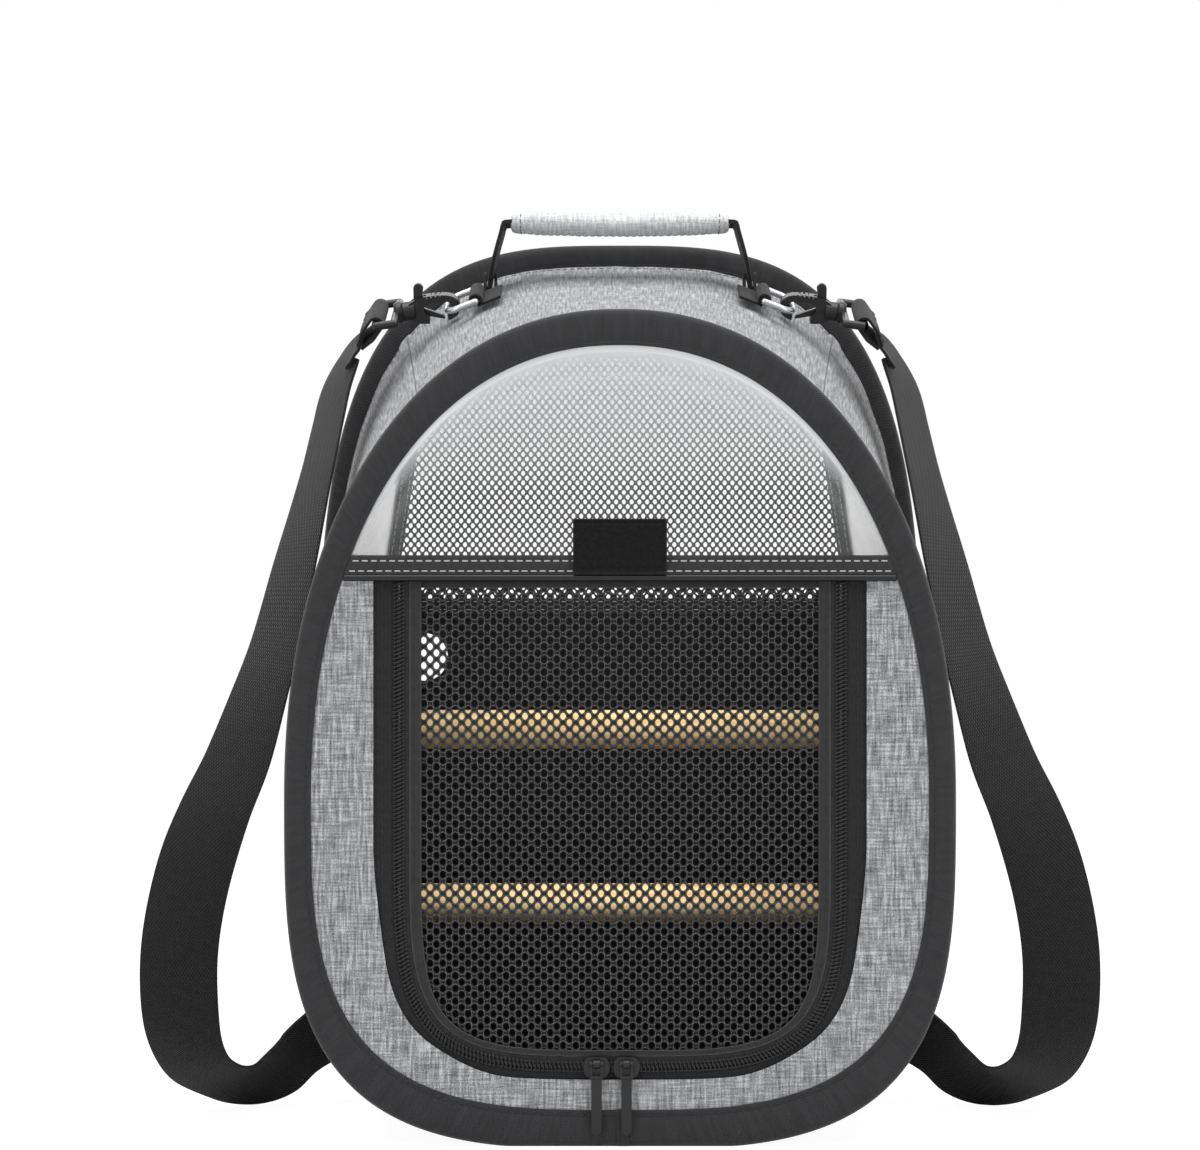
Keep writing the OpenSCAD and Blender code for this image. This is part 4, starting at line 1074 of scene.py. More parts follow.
def zipStrip(name, profile, stations, material, body, replaced, slotName, top=277.7, thick=0.0, ease=None):
    # profile: (offset outwards from the zip's centre line, depth); ease narrows the offsets low down
    path = zipPath(top)
    lengths = pathLengths(path)
    last = len(profile) - 1

    def form(u, v):
        place, direction = alongPath(path, lengths, u)
        offset, depth = profile[round(v * last)]
        away = outwardAt(direction)
        if ease:
            offset = ease(offset, max(0.0, -away.y))
        p = place + away * offset
        return Vector((p.x, depth, p.y)) * mm

    strip = formedGrid(name, stations, last, form, uvSize=(lengths[-1], 18))
    if thick:
        faceTo(strip, (0, -1, 0))
        applyModifier(strip, "SOLIDIFY", thickness=thick * mm, offset=-1)
    smooth(strip, 50)
    return dress(strip, material, body, *replaced, slotName=slotName)


# Outer half of the zip's tape, sewn behind the panel, with a ridge where the coil is stitched on.
zipStrip("zipTapeOuter", [(0.15, -91.9), (0.9, -91.95), (1.8, -92.12), (4.3, -92.12), (4.9, -92),
                          (7.6, -92), (8.2, -92.18), (8.9, -92), (12, -92), (17, -92)], 200, finish["zipTape"], "root", ["zip_tape"],
         "zip_tape", thick=0.7)


# The door's edge: the zip's inner tape and a folded binding that is padded over the net's rim.
def bindingEase(offset, low):
    return offset if offset > -7.5 else mix(offset, -7.5, low * 0.82)


zipStrip("doorBinding", [(-0.15, -91.9), (-0.9, -91.95), (-1.8, -92.12), (-4.3, -92.12),
                         (-4.9, -91.95), (-5.2, -92.6), (-5.6, -93.2), (-6.3, -93.42), (-7.3, -93.2), (-8.4, -93.42), (-9.8, -93.35),
                         (-10.5, -93.05), (-10.9, -92.3)], 220, finish["binding"], "door", ["door_binding"],
         "door_tape", thick=0.8, ease=bindingEase)


def zipFrames(offset, depth, top, ease=None):
    path = zipPath(top)
    lengths = pathLengths(path)
    frames = []
    for k in range(401):
        place, direction = alongPath(path, lengths, k / 400)
        away = outwardAt(direction)
        shift = ease(offset, max(0.0, -away.y)) if ease else offset
        p = place + away * shift
        frames.append((Vector((p.x, depth, p.y)) * mm, Vector((0, -1, 0))))
    return frames


stitchRow("doorBindingStitches", zipFrames(-7.3, -93.28, 276, bindingEase), 4, (2.8, 0.6, 0.4), blackThread,
          "door")
stitchRow("panelEdgeStitches", zipFrames(8.2, -92.3, 276), 4, (2.7, 0.6, 0.4), blackThread, "root")

# The coil: nylon loops at a 2 mm pitch, fatter than life so that they show, and short enough to
# stay clear of the sliders' flanges all along their way.
coil = {"pitch": 2.0, "length": 4.0, "fat": 1.25, "height": 1.35, "reach": 0.95}


def coilRow(name, side, body, replaced):
    path = zipPath(door["top"] - 0.8)
    lengths = pathLengths(path)
    count = int(lengths[-1] / coil["pitch"])
    bpy.ops.mesh.primitive_cylinder_add(vertices=8, radius=coil["fat"] * mm / 2, depth=coil["length"] * mm,
                                        rotation=(0, math.radians(90), 0))
    loop = bpy.context.active_object
    settle(loop)
    loop.data.transform(Matrix.Diagonal((1, 1, coil["height"] / coil["fat"], 1)))
    editMesh(loop, (bpy.ops.mesh.bevel, {"offset": 0.28 * mm, "segments": 1, "affect": "EDGES"}))
    places = []
    shift = 0.5 if side > 0 else 0.0
    for k in range(count):
        place, direction = alongPath(path, lengths, (k + shift + 0.25) / count)
        away = outwardAt(direction)
        centre = place + away * side * (coil["length"] / 2 - coil["reach"])
        lean = direction * 0.16 * side
        middle = Vector((centre.x, door["teethY"] + door["teethThickness"] / 2, centre.y)) * mm
        axis = (away * side + lean).normalized()
        places.append(placeMatrix(middle, Vector((axis.x, 0, axis.y)), Vector((0, -1, 0))))
    row = repeatPiece(name, loop, places)
    smooth(row, 60)
    dress(row, finish["coil"], body, replaced, slotName="zip_coil")


coilRow("zipCoilOuter", 1, "root", "zip_teeth_outer")
coilRow("zipCoilInner", -1, "door", "zip_teeth_inner")
stitchRow("coilThreadOuter", zipFrames(2.1, -93.62, 276), 2, (1.5, 0.6, 0.3), blackThread, "root")
stitchRow("coilThreadInner", zipFrames(-2.1, -93.62, 276), 2, (1.5, 0.6, 0.3), blackThread, "door")


# Each net is a lattice of staggered holes. One cell is a diamond with a rounded hole in it.
def netCell(halfX, halfZ, holeX, holeZ):
    corners = [(halfX, 0), (halfX / 2, halfZ / 2), (0, halfZ), (-halfX / 2, halfZ / 2), (-halfX, 0),
               (-halfX / 2, -halfZ / 2), (0, -halfZ), (halfX / 2, -halfZ / 2)]
    bpy.ops.mesh.primitive_circle_add(vertices=8, radius=1, fill_type="NGON")
    cell = bpy.context.active_object
    editMesh(cell, (bpy.ops.mesh.inset, {"thickness": 0.4}))
    turned = sorted(cell.data.vertices, key=lambda v: math.atan2(v.co.y, v.co.x))
    outer = [v for v in turned if v.co.length > 0.9]
    inner = [v for v in turned if v.co.length <= 0.9]
    ranked = sorted(corners, key=lambda c: math.atan2(c[1], c[0]))
    for vertex, corner in zip(outer, ranked):
        vertex.co = (corner[0] * mm, 0, corner[1] * mm)
    for vertex, corner in zip(inner, ranked):
        angle = math.atan2(corner[1] / halfZ, corner[0] / halfX)
        pull = 1.0 if abs(math.sin(2 * angle)) < 0.5 else 0.94
        vertex.co = (holeX * pull * math.cos(angle) * mm, 0, holeZ * pull * math.sin(angle) * mm)
    selectOnly(cell)
    bpy.ops.object.mode_set(mode="EDIT")
    bpy.ops.mesh.select_all(action="DESELECT")
    bpy.ops.object.mode_set(mode="OBJECT")
    for face in cell.data.polygons:
        face.select = len(face.vertices) == 8
    bpy.ops.object.mode_set(mode="EDIT")
    bpy.ops.mesh.delete(type="FACE")
    bpy.ops.object.mode_set(mode="OBJECT")
    return cell


def netSheet(name, cellSize, hole, box, keep, faceY, thickness):
    # box is (lowest x, highest x, lowest z, highest z); keep says whether a face's centre stays
    halfX, halfZ = cellSize
    cell = netCell(halfX, halfZ, *hole)
    twin = cell.copy()
    twin.data = cell.data.copy()
    bpy.context.scene.collection.objects.link(twin)
    twin.location = (halfX * mm, 0, halfZ * mm)
    settle(twin)
    cell = joinAll([cell, twin], name)
    columns = int((box[1] - box[0]) / (2 * halfX)) + 2
    rows = int((box[3] - box[2]) / (2 * halfZ)) + 2
    for count, offset in ((columns, (2 * halfX * mm, 0, 0)), (rows, (0, 0, 2 * halfZ * mm))):
        applyModifier(cell, "ARRAY", count=count, use_relative_offset=False, use_constant_offset=True,
                      constant_offset_displace=offset)
    cell.data.transform(Matrix.Translation(((-columns * halfX + (box[0] + box[1]) / 2) * mm, faceY * mm,
                                            (box[2] - halfZ) * mm)))
    editMesh(cell, (bpy.ops.mesh.remove_doubles, {"threshold": 0.02 * mm}))
    selectOnly(cell)
    bpy.ops.object.mode_set(mode="EDIT")
    bpy.ops.mesh.select_mode(type="FACE")
    bpy.ops.mesh.select_all(action="DESELECT")
    bpy.ops.object.mode_set(mode="OBJECT")
    for face in cell.data.polygons:
        face.select = not keep(face.center.x / mm, face.center.z / mm)
    bpy.ops.object.mode_set(mode="EDIT")
    bpy.ops.mesh.delete(type="FACE")
    bpy.ops.object.mode_set(mode="OBJECT")
    faceTo(cell, (0, -1, 0))
    flatUv(cell)
    applyModifier(cell, "SOLIDIFY", thickness=thickness * mm, offset=-1)
    return cell


doorNet = {"cell": (3.11, 3.11), "hole": (1.5, 1.86), "thickness": 0.55, "lap": 3.2}


def doorNetSheet():
    reach = inset(door["netEdge"], -doorNet["lap"])

    def keep(x, z):
        if z > door["top"] - 0.4 or z < reach[3]:
            return False
        return abs(x) < widthAt(reach, z)

    net = netSheet("doorNet", doorNet["cell"], doorNet["hole"], (-101, 101, 43, 277), keep, door["netY"],
                   doorNet["thickness"])
    dress(net, finish["net"], "door", "door_net", slotName="black_net")


doorNetSheet()


# A band of the same tape closes the door's upper edge under the cross band.
def doorTopHem():
    profile = [(0, 0.4), (0.2, -0.15), (0.55, -0.25), (2.4, -0.2), (3.2, -0.05), (3.4, 0.5)]
    last = len(profile) - 1

    def form(u, v):
        drop, rise = profile[round(v * last)]
        return Vector((mix(-97.5, 97.5, u), -91.4 + rise, door["top"] - 0.3 - drop)) * mm

    hem = formedGrid("doorTopHem", 90, last, form)
    flatUv(hem)
    faceTo(hem, (0, -1, 0))
    applyModifier(hem, "SOLIDIFY", thickness=0.5 * mm, offset=-1)
    smooth(hem, 50)
    dress(hem, finish["binding"], "door")


doorTopHem()
print("stage: door and zip")


# ---------- back panel, its window, lining and port ----------

back = {
    "panelY": 92.1, "clothThickness": 1.6,
    "windowLow": 266, "halfLow": 128, "halfHigh": 112, "high": 375, "top": 432.5,
    "bind": 8, "portX": -107, "portZ": 239, "portRadius": 13,
}


def windowOutline(margin, steps=48):
    halfLow, halfHigh = back["halfLow"] - margin, back["halfHigh"] - margin
    points = [(-halfLow, back["windowLow"] + margin), (halfLow, back["windowLow"] + margin),
              (halfHigh, back["high"])]
    for k in range(1, steps):
        t = math.pi * k / steps
        rise = (back["top"] - margin - back["high"]) * math.sin(t) ** 0.8
        points.append((halfHigh * math.cos(t), back["high"] + rise))
    points.append((-halfHigh, back["high"]))
    return points


def portCircle(radius, steps=64):
    return [(back["portX"] + radius * math.cos(2 * math.pi * k / steps),
             back["portZ"] + radius * math.sin(2 * math.pi * k / steps)) for k in range(steps)]


def backPieces():
    cut = inset(cabin["backInner"], -6)
    edge = [tuple(onOutline(cut, 360 * k / 240)) for k in range(240)]
    panel = flatShape("backPanelCloth", [edge, windowOutline(0), portCircle(back["portRadius"] + 1.7)],
                      back["panelY"], back["clothThickness"])
    dress(panel, finish["heather"], "root", "back_panel", slotName="heather_cloth")
    # a near-white sheet on the back panel's inside above the lining: painted light, in place of the white
    # background seen through there
    facingEdge = inset(cabin["backInner"], -1)
    around = [onOutline(facingEdge, 360 * k / 240) for k in range(240)]
    upper = [(p.x, max(p.y, back["windowLow"] - 3)) for p in around]
    facing = flatShape("backPanelCoating", [upper, windowOutline(1)], 91.78, 0.25)
    dress(facing, finish["pale"], "root")
    binding = flatShape("backWindowBinding", [windowOutline(-3), windowOutline(back["bind"] - 3)], 89.8, 1.2)
    applyModifier(binding, "BEVEL", width=0.35 * mm, segments=2, limit_method="ANGLE")
    smooth(binding, 50)
    dress(binding, finish["seamTape"], "root", "back_window_binding", slotName="binding_tape")
    for number, margin in enumerate((-1.2, 3.2)):
        outline = windowOutline(margin)
        frames = [(Vector((p[0], 89.75, p[1])) * mm, Vector((0, -1, 0))) for p in outline + outline[:1]]
        stitchRow("windowBindingStitches" + str(number), frames, 4, (2.8, 0.6, 0.4), greyThread, "root")
        rear = [(Vector((p[0], 93.75, p[1])) * mm, Vector((0, 1, 0))) for p in windowOutline(-margin - 3.2)]
        stitchRow("windowRearStitches" + str(number), rear + rear[:1], 4, (2.8, 0.6, 0.4), greyThread, "root")
    wall = inset(cabin["backInner"], 2.4)
    low = [onOutline(wall, 360 * k / 240) for k in range(240)]
    top = back["windowLow"] - 3.1
    shape = [(p.x, min(p.y, top)) for p in low]
    lining = flatShape("backLiningPad", [shape, portCircle(back["portRadius"] + 1.7)], 89.0, 3)
    applyModifier(lining, "BEVEL", width=0.9 * mm, segments=3, limit_method="ANGLE")
    smooth(lining, 50)
    dress(lining, finish["lining"], "root", "back_lining", slotName="lining_pad")


backPieces()

backNet = {"cell": (2.12, 2.6), "hole": (1.18, 1.5), "thickness": 0.5, "y": 91.3}


def backNetSheet():
    def keep(x, z):
        if z < back["windowLow"] - 1.5 or z > back["top"] + 1.5:
            return False
        share = (z - back["windowLow"]) / (back["high"] - back["windowLow"])
        half = mix(back["halfLow"], back["halfHigh"], share)
        if z > back["high"]:
            rise = min(1, (z - back["high"]) / (back["top"] + 1.5 - back["high"]))
            half = (back["halfHigh"] + 1) * math.cos(math.asin(rise ** 1.25))
        return abs(x) < half + 1.5

    net = netSheet("backWindowNet", backNet["cell"], backNet["hole"], (-131, 131, 264, 434), keep,
                   backNet["y"], backNet["thickness"])
    dress(net, finish["netGrey"], "root", "back_net", slotName="black_net")


backNetSheet()


# A black lining covers the inside of each side gusset below the window.
def sideLinings():
    # a thin black sheet just inside each side gusset, from the floor to the window's foot
    for name, sign in (("sideLiningRight", 1), ("sideLiningLeft", -1)):
        def form(u, v):
            y = mix(-86, 86, v)
            z = mix(20, 271, u)
            x = widthAt(inset(seamAt(y), 3.0), z)
            wave = noise.noise(Vector((z / 40, y / 40, sign))) * 0.5
            return Vector((sign * (x - 0.4 + min(0, wave)), y, z)) * mm

        sheet = formedGrid(name, 60, 30, form, uvSize=(251, 172))
        faceTo(sheet, (-sign, 0, 0))
        applyModifier(sheet, "SOLIDIFY", thickness=0.4 * mm, offset=-1)
        smooth(sheet, 50)
        dress(sheet, finish["lining"], "root")


sideLinings()


def faceWith(material, *names):
    for name in names:
        obj = bpy.data.objects[name]
        obj.data.materials.clear()
        obj.data.materials.append(material)


faceWith(finish["plastic"], "port_eyelet")
faceWith(finish["board"], "base_board")
faceWith(finish["steel"], "front_hoop_wire", "back_hoop_wire", "perch_washers", "perch_screws")
print("stage: back panel")


# ---------- perches ----------

perch = {"radius": 10, "zs": (202, 112), "names": ("perch_upper", "perch_lower")}


def perchDowels():
    for name, z in zip(perch["names"], perch["zs"]):
        low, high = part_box(name)
        bpy.ops.mesh.primitive_cylinder_add(vertices=64, radius=perch["radius"] * mm, depth=high.x - low.x,
                                            location=(0, 0, z * mm), rotation=(0, math.radians(90), 0))
        dowel = bpy.context.active_object
        dowel.name = name + "Dowel"
        settle(dowel)
        applyModifier(dowel, "BEVEL", width=1.0 * mm, segments=3, limit_method="ANGLE")
        smooth(dowel, 50)
        dress(dowel, finish["wood"], "root", name, slotName="perch_wood")


perchDowels()
print("stage: perches")


# ---------- webbing ribbons ----------

def ribbon(name, centres, widths, halves, thickness, material, camber=0.0, bendEdge=0.25):
    # centres and unit width directions in millimetres; the section is a thin round-edged strip
    count = len(centres)
    section = []
    edge = thickness / 2
    steps = 10
    for k in range(steps + 1):
        section.append((mix(-1, 1, k / steps), 1))
    for k in range(steps + 1):
        section.append((mix(1, -1, k / steps), -1))
    section.append(section[0])
    last = len(section) - 1
    lengths = pathLengths(centres)

    def form(u, v):
        i = round(u * (count - 1))
        share, face = section[round(v * last)]
        a, b = centres[max(i - 1, 0)], centres[min(i + 1, count - 1)]
        along = (b - a).normalized()
        w = widths[i]
        w = (w - along * w.dot(along)).normalized()
        n = along.cross(w)
        rim = 1 - bendEdge * max(0, (abs(share) - 0.9) / 0.1)
        half = halves[i] if isinstance(halves, list) else halves
        p = centres[i] + w * share * half + n * (face * edge * rim + camber * (share * share - 0.5))
        return p * mm

    strip = formedGrid(name, count - 1, last, form, False, True, (lengths[-1], 2 * (halves if not
                       isinstance(halves, list) else max(halves))))
    layer = strip.data.uv_layers["cloth"]
    layerScale = 2 * (halves if not isinstance(halves, list) else max(halves))
    for loop in layer.data:
        v = loop.uv[1] / layerScale
        loop.uv = (loop.uv[0], 2 * layerScale * min(v, 1 - v))
    selectOnly(strip)
    bpy.ops.object.mode_set(mode="EDIT")
    bpy.ops.mesh.select_mode(type="EDGE")
    bpy.ops.mesh.select_all(action="DESELECT")
    bpy.ops.mesh.select_non_manifold()
    bpy.ops.mesh.fill_holes(sides=0)
    bpy.ops.object.mode_set(mode="OBJECT")
    outward(strip)
    smooth(strip, 60)
    strip.data.materials.clear()
    strip.data.materials.append(material)
    return strip


def splinePoint(a, b, c, d, t):
    return 0.5 * (2 * b + (c - a) * t + (2 * a - 5 * b + 4 * c - d) * t * t + (3 * b - a - 3 * c + d) * t ** 3)


def splineList(points, fine):
    out = []
    last = len(points) - 1
    for i in range(last):
        for k in range(fine):
            out.append(splinePoint(points[max(i - 1, 0)], points[i], points[i + 1], points[min(i + 2, last)],
                                   k / fine))
    out.append(points[-1].copy())
    return out


def mirrored(points):
    return [Vector((-p.x, p.y, p.z)) for p in points]


# ---------- shoulder straps ----------

# In the clip frame X points outwards, Y along the D-ring's bar and Z away from the cloth; in the
# hook frame the origin is the D-ring's outer bar and X points along the hook.
clip = {
    "place": (76, 34, 431.027), "tilt": 20.0653, "ringSlope": 22, "ringReach": 16, "hookSlope": 8,
    "ringWire": 3.5, "eyeFar": 37.8, "eyeWire": 2.2,
    "loopDrop": 47, "loopLength": 16, "loopWidth": 40, "loopThickness": 2, "gap": 0.3,
}


def clipFrame():
    return (Matrix.Translation(Vector(clip["place"]) * mm)
            @ Matrix.Rotation(math.radians(clip["tilt"]), 4, "X"))


def hookFrame():
    return (clipFrame() @ Matrix.Rotation(math.radians(clip["ringSlope"]), 4, "Y")
            @ Matrix.Translation((clip["ringReach"] * mm, 0, 0))
            @ Matrix.Rotation(math.radians(clip["hookSlope"] - clip["ringSlope"]), 4, "Y"))


def dropFrame():
    # X points down along the sewn loop that the strap hangs from
    return (hookFrame() @ Matrix.Translation((clip["eyeFar"] * mm, 0, 0))
            @ Matrix.Rotation(math.radians(clip["loopDrop"]), 4, "Y"))


def loopEnd(past):
    return dropFrame() @ (Vector((clip["loopLength"] + past, 0, 0)) * mm) / mm


# Centre line of the right strap and the direction across the webbing, from the hook to the side cloth.
strap = {"width": 40, "thickness": 1.9, "fine": 8, "end": (64, 42)}
acrossLoop = (0, math.cos(math.radians(clip["tilt"])), math.sin(math.radians(clip["tilt"])))
strapRoute = [
    (loopEnd(0.5), acrossLoop), (loopEnd(6), acrossLoop), (loopEnd(12), (0.2, 0.93, 0.3)),
    ((151, 43, 383), (0.38, 0.91, 0.16)), ((155, 37, 364), (0.44, 0.9, 0.06)),
    ((159, 30.5, 343), (0.48, 0.88, 0)), ((164, 25, 320), (0.53, 0.85, 0)), ((171, 18, 288), (0.62, 0.78, 0)),
    ((180, 11, 248), (0.7, 0.71, 0)), ((189, 6, 217), (0.8, 0.6, 0)), ((199, 2, 186), (0.9, 0.44, 0)),
    ((210, -2, 160), (0.95, 0.3, 0)), ((219, -5, 134), (0.99, 0.12, 0)), ((225, -7, 108), (1, 0.05, 0)),
    ((228, -7, 84), (1, 0, 0)), ((228, -5, 60), (1, 0.02, 0)), ((226, 0, 41), (0.95, 0.25, -0.15)),
    ((221, 8, 27), (0.76, 0.52, -0.38)), ((213, 18, 19), (0.4, 0.77, -0.49)),
    ((202, 28, 15), (0.05, 0.86, -0.51)), ((190, 38, 16), (-0.2, 0.82, -0.53)),
    ((178, 48, 21), (-0.3, 0.74, -0.6)), ((167, 57, 31), (-0.25, 0.66, -0.71)),
]


def strapEnd():
    y, z = strap["end"]
    return ((widthAt(seamAt(y), z) + 3.4, y, z), (-0.32, 0.55, -0.77))


def shoulderStraps():
    route = strapRoute + [strapEnd()]
    centres = splineList([Vector(p) for p, _ in route], strap["fine"])
    widths = splineList([Vector(w) for _, w in route], strap["fine"])
    for side, body in (("Right", "ring_right"), ("Left", "ring_left")):
        line = centres if side == "Right" else mirrored(centres)
        across = widths if side == "Right" else mirrored(widths)
        strip = ribbon("shoulderStrap" + side, line, across, strap["width"] / 2, strap["thickness"],
                       finish["strap"], 0.5)
        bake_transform(strip)
        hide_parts("strap_" + side.lower())


shoulderStraps()


# A cloth patch on each side gusset takes the strap's end, sewn with a box and one diagonal.
patch = {"depth": 34, "height": 44, "thickness": 1.2, "gap": 0.5}


def strapPatches():
    y0, z0 = strap["end"]
    for name, sign in (("strapPatchRight", 1), ("strapPatchLeft", -1)):
        def onPatch(u, v, lift):
            y = y0 + patch["depth"] * (u - 0.5)
            z = z0 + patch["height"] * (v - 0.4)
            return Vector((sign * (widthAt(seamAt(y), z) + lift), y, z)) * mm

        def form(u, v):
            edge = min(u, 1 - u, v, 1 - v)
            return onPatch(u, v, patch["gap"] + patch["thickness"] - 0.5 * math.exp(-(edge / 0.03) ** 2))

        sheet = formedGrid(name, 34, 44, form, uvSize=(34, 44))
        faceTo(sheet, (sign, 0, 0))
        applyModifier(sheet, "SOLIDIFY", thickness=patch["thickness"] * mm, offset=-1)
        smooth(sheet, 50)
        dress(sheet, finish["strap"], "root", "strap_patches", slotName="strap_webbing")
        corners = [(0.1, 0.08), (0.9, 0.08), (0.9, 0.92), (0.1, 0.92), (0.1, 0.08), (0.9, 0.92)]
        frames = []
        for a, b in zip(corners, corners[1:]):
            for k in range(12):
                frames.append((onPatch(mix(a[0], b[0], k / 12), mix(a[1], b[1], k / 12), patch["gap"] + 1.3),
                               Vector((sign, 0, 0))))
        stitchRow(name + "Stitches", frames, 3.4, (2.3, 0.6, 0.4), greyThread, "root")


strapPatches()
print("stage: straps")


# ---------- carry handle ----------

handle = {
    "y": 55, "gripZ": 471.236, "pivotZ": 440.236, "halfTop": 62, "footX": 70, "webWidth": 24,
    "webThickness": 2.4, "footHalf": 5, "sleeveHalf": 59, "sleeveDepth": 30, "sleeveHeight": 13.5,
}


def handleWebbing():
    y, top, foot = handle["y"], handle["gripZ"], handle["pivotZ"]
    keys = [(-handle["footX"], foot - 4.2), (-handle["footX"] + 0.6, foot), (-68.2, foot + 7),
            (-65.7, foot + 17), (-63.2, top - 5), (-62.3, top - 1.6), (-60, top), (-45, top)]
    right = [(-x, z) for x, z in reversed(keys)]
    points = [Vector((x, y, z)) for x, z in keys + [(-15, top), (15, top)] + right]
    centres = splineList(points, 6)
    widths = [Vector((0, 1, 0))] * len(centres)
    halves = []
    for p in centres:
        rise = min(1, max(0, (p.z - foot) / 14))
        halves.append(mix(handle["footHalf"], handle["webWidth"] / 2, rise ** 0.8))
    web = ribbon("handleWebbing", centres, widths, halves, handle["webThickness"], finish["strap"])
    dress(web, finish["strap"], "handle", "handle_webbing", slotName="strap_webbing")


handleWebbing()


# The padded grip: a cloth sleeve over foam, plump between its hemmed ends, with one seam below.
def gripSleeve():
    half, deep, high = handle["sleeveHalf"], handle["sleeveDepth"] / 2, handle["sleeveHeight"] / 2

    def form(u, v):
        s = mix(-1, 1, u)
        t = 2 * math.pi * v
        r = ((abs(math.cos(t))) ** 2.6 + (abs(math.sin(t))) ** 2.6) ** (-1 / 2.6)
        swell = 1 - 0.2 * abs(s) ** 8
        dip = -0.7 * max(0, 1 - s * s) ** 3
        return Vector((s * (half - 0.5), handle["y"] + (deep - 1.2) * r * math.cos(t) * mix(1, swell, 0.4),
                       handle["gripZ"] + dip + (high - 1.4) * r * math.sin(t) * swell)) * mm

    sleeve = formedGrid("gripSleeve", 60, 28, form, False, True, (118, 74))
    outward(sleeve)
    selectOnly(sleeve)
    bpy.ops.object.mode_set(mode="EDIT")
    bpy.ops.mesh.select_mode(type="EDGE")
    bpy.ops.mesh.select_all(action="DESELECT")
    bpy.ops.mesh.select_non_manifold()
    bpy.ops.mesh.edge_face_add()
    bpy.ops.object.mode_set(mode="OBJECT")
    bpy.ops.object.mode_set(mode="EDIT")
    bpy.ops.mesh.select_all(action="DESELECT")
    bpy.ops.mesh.select_non_manifold()
    bpy.ops.mesh.fill_holes(sides=0)
    bpy.ops.object.mode_set(mode="OBJECT")
    swellSleeve(sleeve)
    for vertex in sleeve.data.vertices:
        x = vertex.co.x / mm
        crease = noise.noise(Vector((x / 7, vertex.co.y / mm / 22, 4))) * 0.35
        pull = math.exp(-((abs(x) - 50) / 2.2) ** 2) * 0.5
        middle = Vector((vertex.co.x, handle["y"] * mm, handle["gripZ"] * mm))
        away = (vertex.co - middle).normalized()
        vertex.co += away * (crease - pull) * mm
    applyModifier(sleeve, "SUBSURF", levels=1, render_levels=1)
    smooth(sleeve, 70)
    sleeveUv(sleeve)
    dress(sleeve, finish["sleeve"], "handle", "handle_sleeve", slotName="sleeve_cloth")


def swellSleeve(sleeve):
    applyModifier(sleeve, "REMESH", mode="VOXEL", voxel_size=2.4 * mm)
    rest = [v.co.copy() for v in sleeve.data.vertices]
    selectOnly(sleeve)
    cloth = sleeve.modifiers.new("cloth", "CLOTH")
    cloth.settings.use_pressure = True
    cloth.settings.uniform_pressure_force = 3
    cloth.settings.effector_weights.gravity = 0
    cloth.settings.quality = 5
    scene = bpy.context.scene
    for number in range(1, 15):
        scene.frame_set(number)
    bpy.ops.object.modifier_apply(modifier=cloth.name)
    scene.frame_set(1)
    cap = 1.1 * mm
    for vertex, before in zip(sleeve.data.vertices, rest):
        move = vertex.co - before
        if move.length > cap:
            move *= cap / move.length
        vertex.co = before + move
        vertex.co.x = max(-handle["sleeveHalf"] * mm, min(handle["sleeveHalf"] * mm, vertex.co.x))


def sleeveUv(sleeve):
    layer = sleeve.data.uv_layers.get("cloth") or sleeve.data.uv_layers.new(name="cloth")
    for face in sleeve.data.polygons:
        turns = []
        for index in face.loop_indices:
            p = sleeve.data.vertices[sleeve.data.loops[index].vertex_index].co
            turns.append(math.atan2((p.z / mm - handle["gripZ"]) * 2.2, p.y / mm - handle["y"]))
        for index, turn in zip(face.loop_indices, turns):
            if max(turns) - min(turns) > math.pi and turn < 0:
                turn += 2 * math.pi
            p = sleeve.data.vertices[sleeve.data.loops[index].vertex_index].co
            layer.data[index].uv = (p.x / mm + 60, turn * 12)


gripSleeve()


def onSleeve(sleeve, x, y, z):
    # the sleeve's own surface as seen from outside, towards its middle line
    start = Vector((x, y, z)) * mm
    middle = Vector((x, handle["y"], handle["gripZ"])) * mm
    found, place, normal = sleeve.ray_cast(start, (middle - start).normalized())[:3]
    return (place + normal * 0.1 * mm, normal) if found else (middle, Vector((0, 0, 1)))


def sleeveStitches():
    sleeve = bpy.data.objects["gripSleeve"]
    for name, x in (("Left", -53), ("Right", 53)):
        ring = [onSleeve(sleeve, x, handle["y"] + 40 * math.cos(2 * math.pi * k / 48),
                         handle["gripZ"] + 18 * math.sin(2 * math.pi * k / 48)) for k in range(49)]
        stitchRow("sleeveHemStitches" + name, ring, 3.4, (2.2, 0.6, 0.4), greyThread, "handle")
    under = [onSleeve(sleeve, x, handle["y"] + 12, handle["gripZ"] - 20) for x in range(-50, 51, 2)]
    stitchRow("sleeveSeamStitches", under, 3.6, (2.4, 0.7, 0.4), greyThread, "handle")


sleeveStitches()


# Each foot of the handle is held between two folded ears of webbing on the top cloth.
ear = {"thickness": 1.4, "gap": 0.3, "radius": 5}


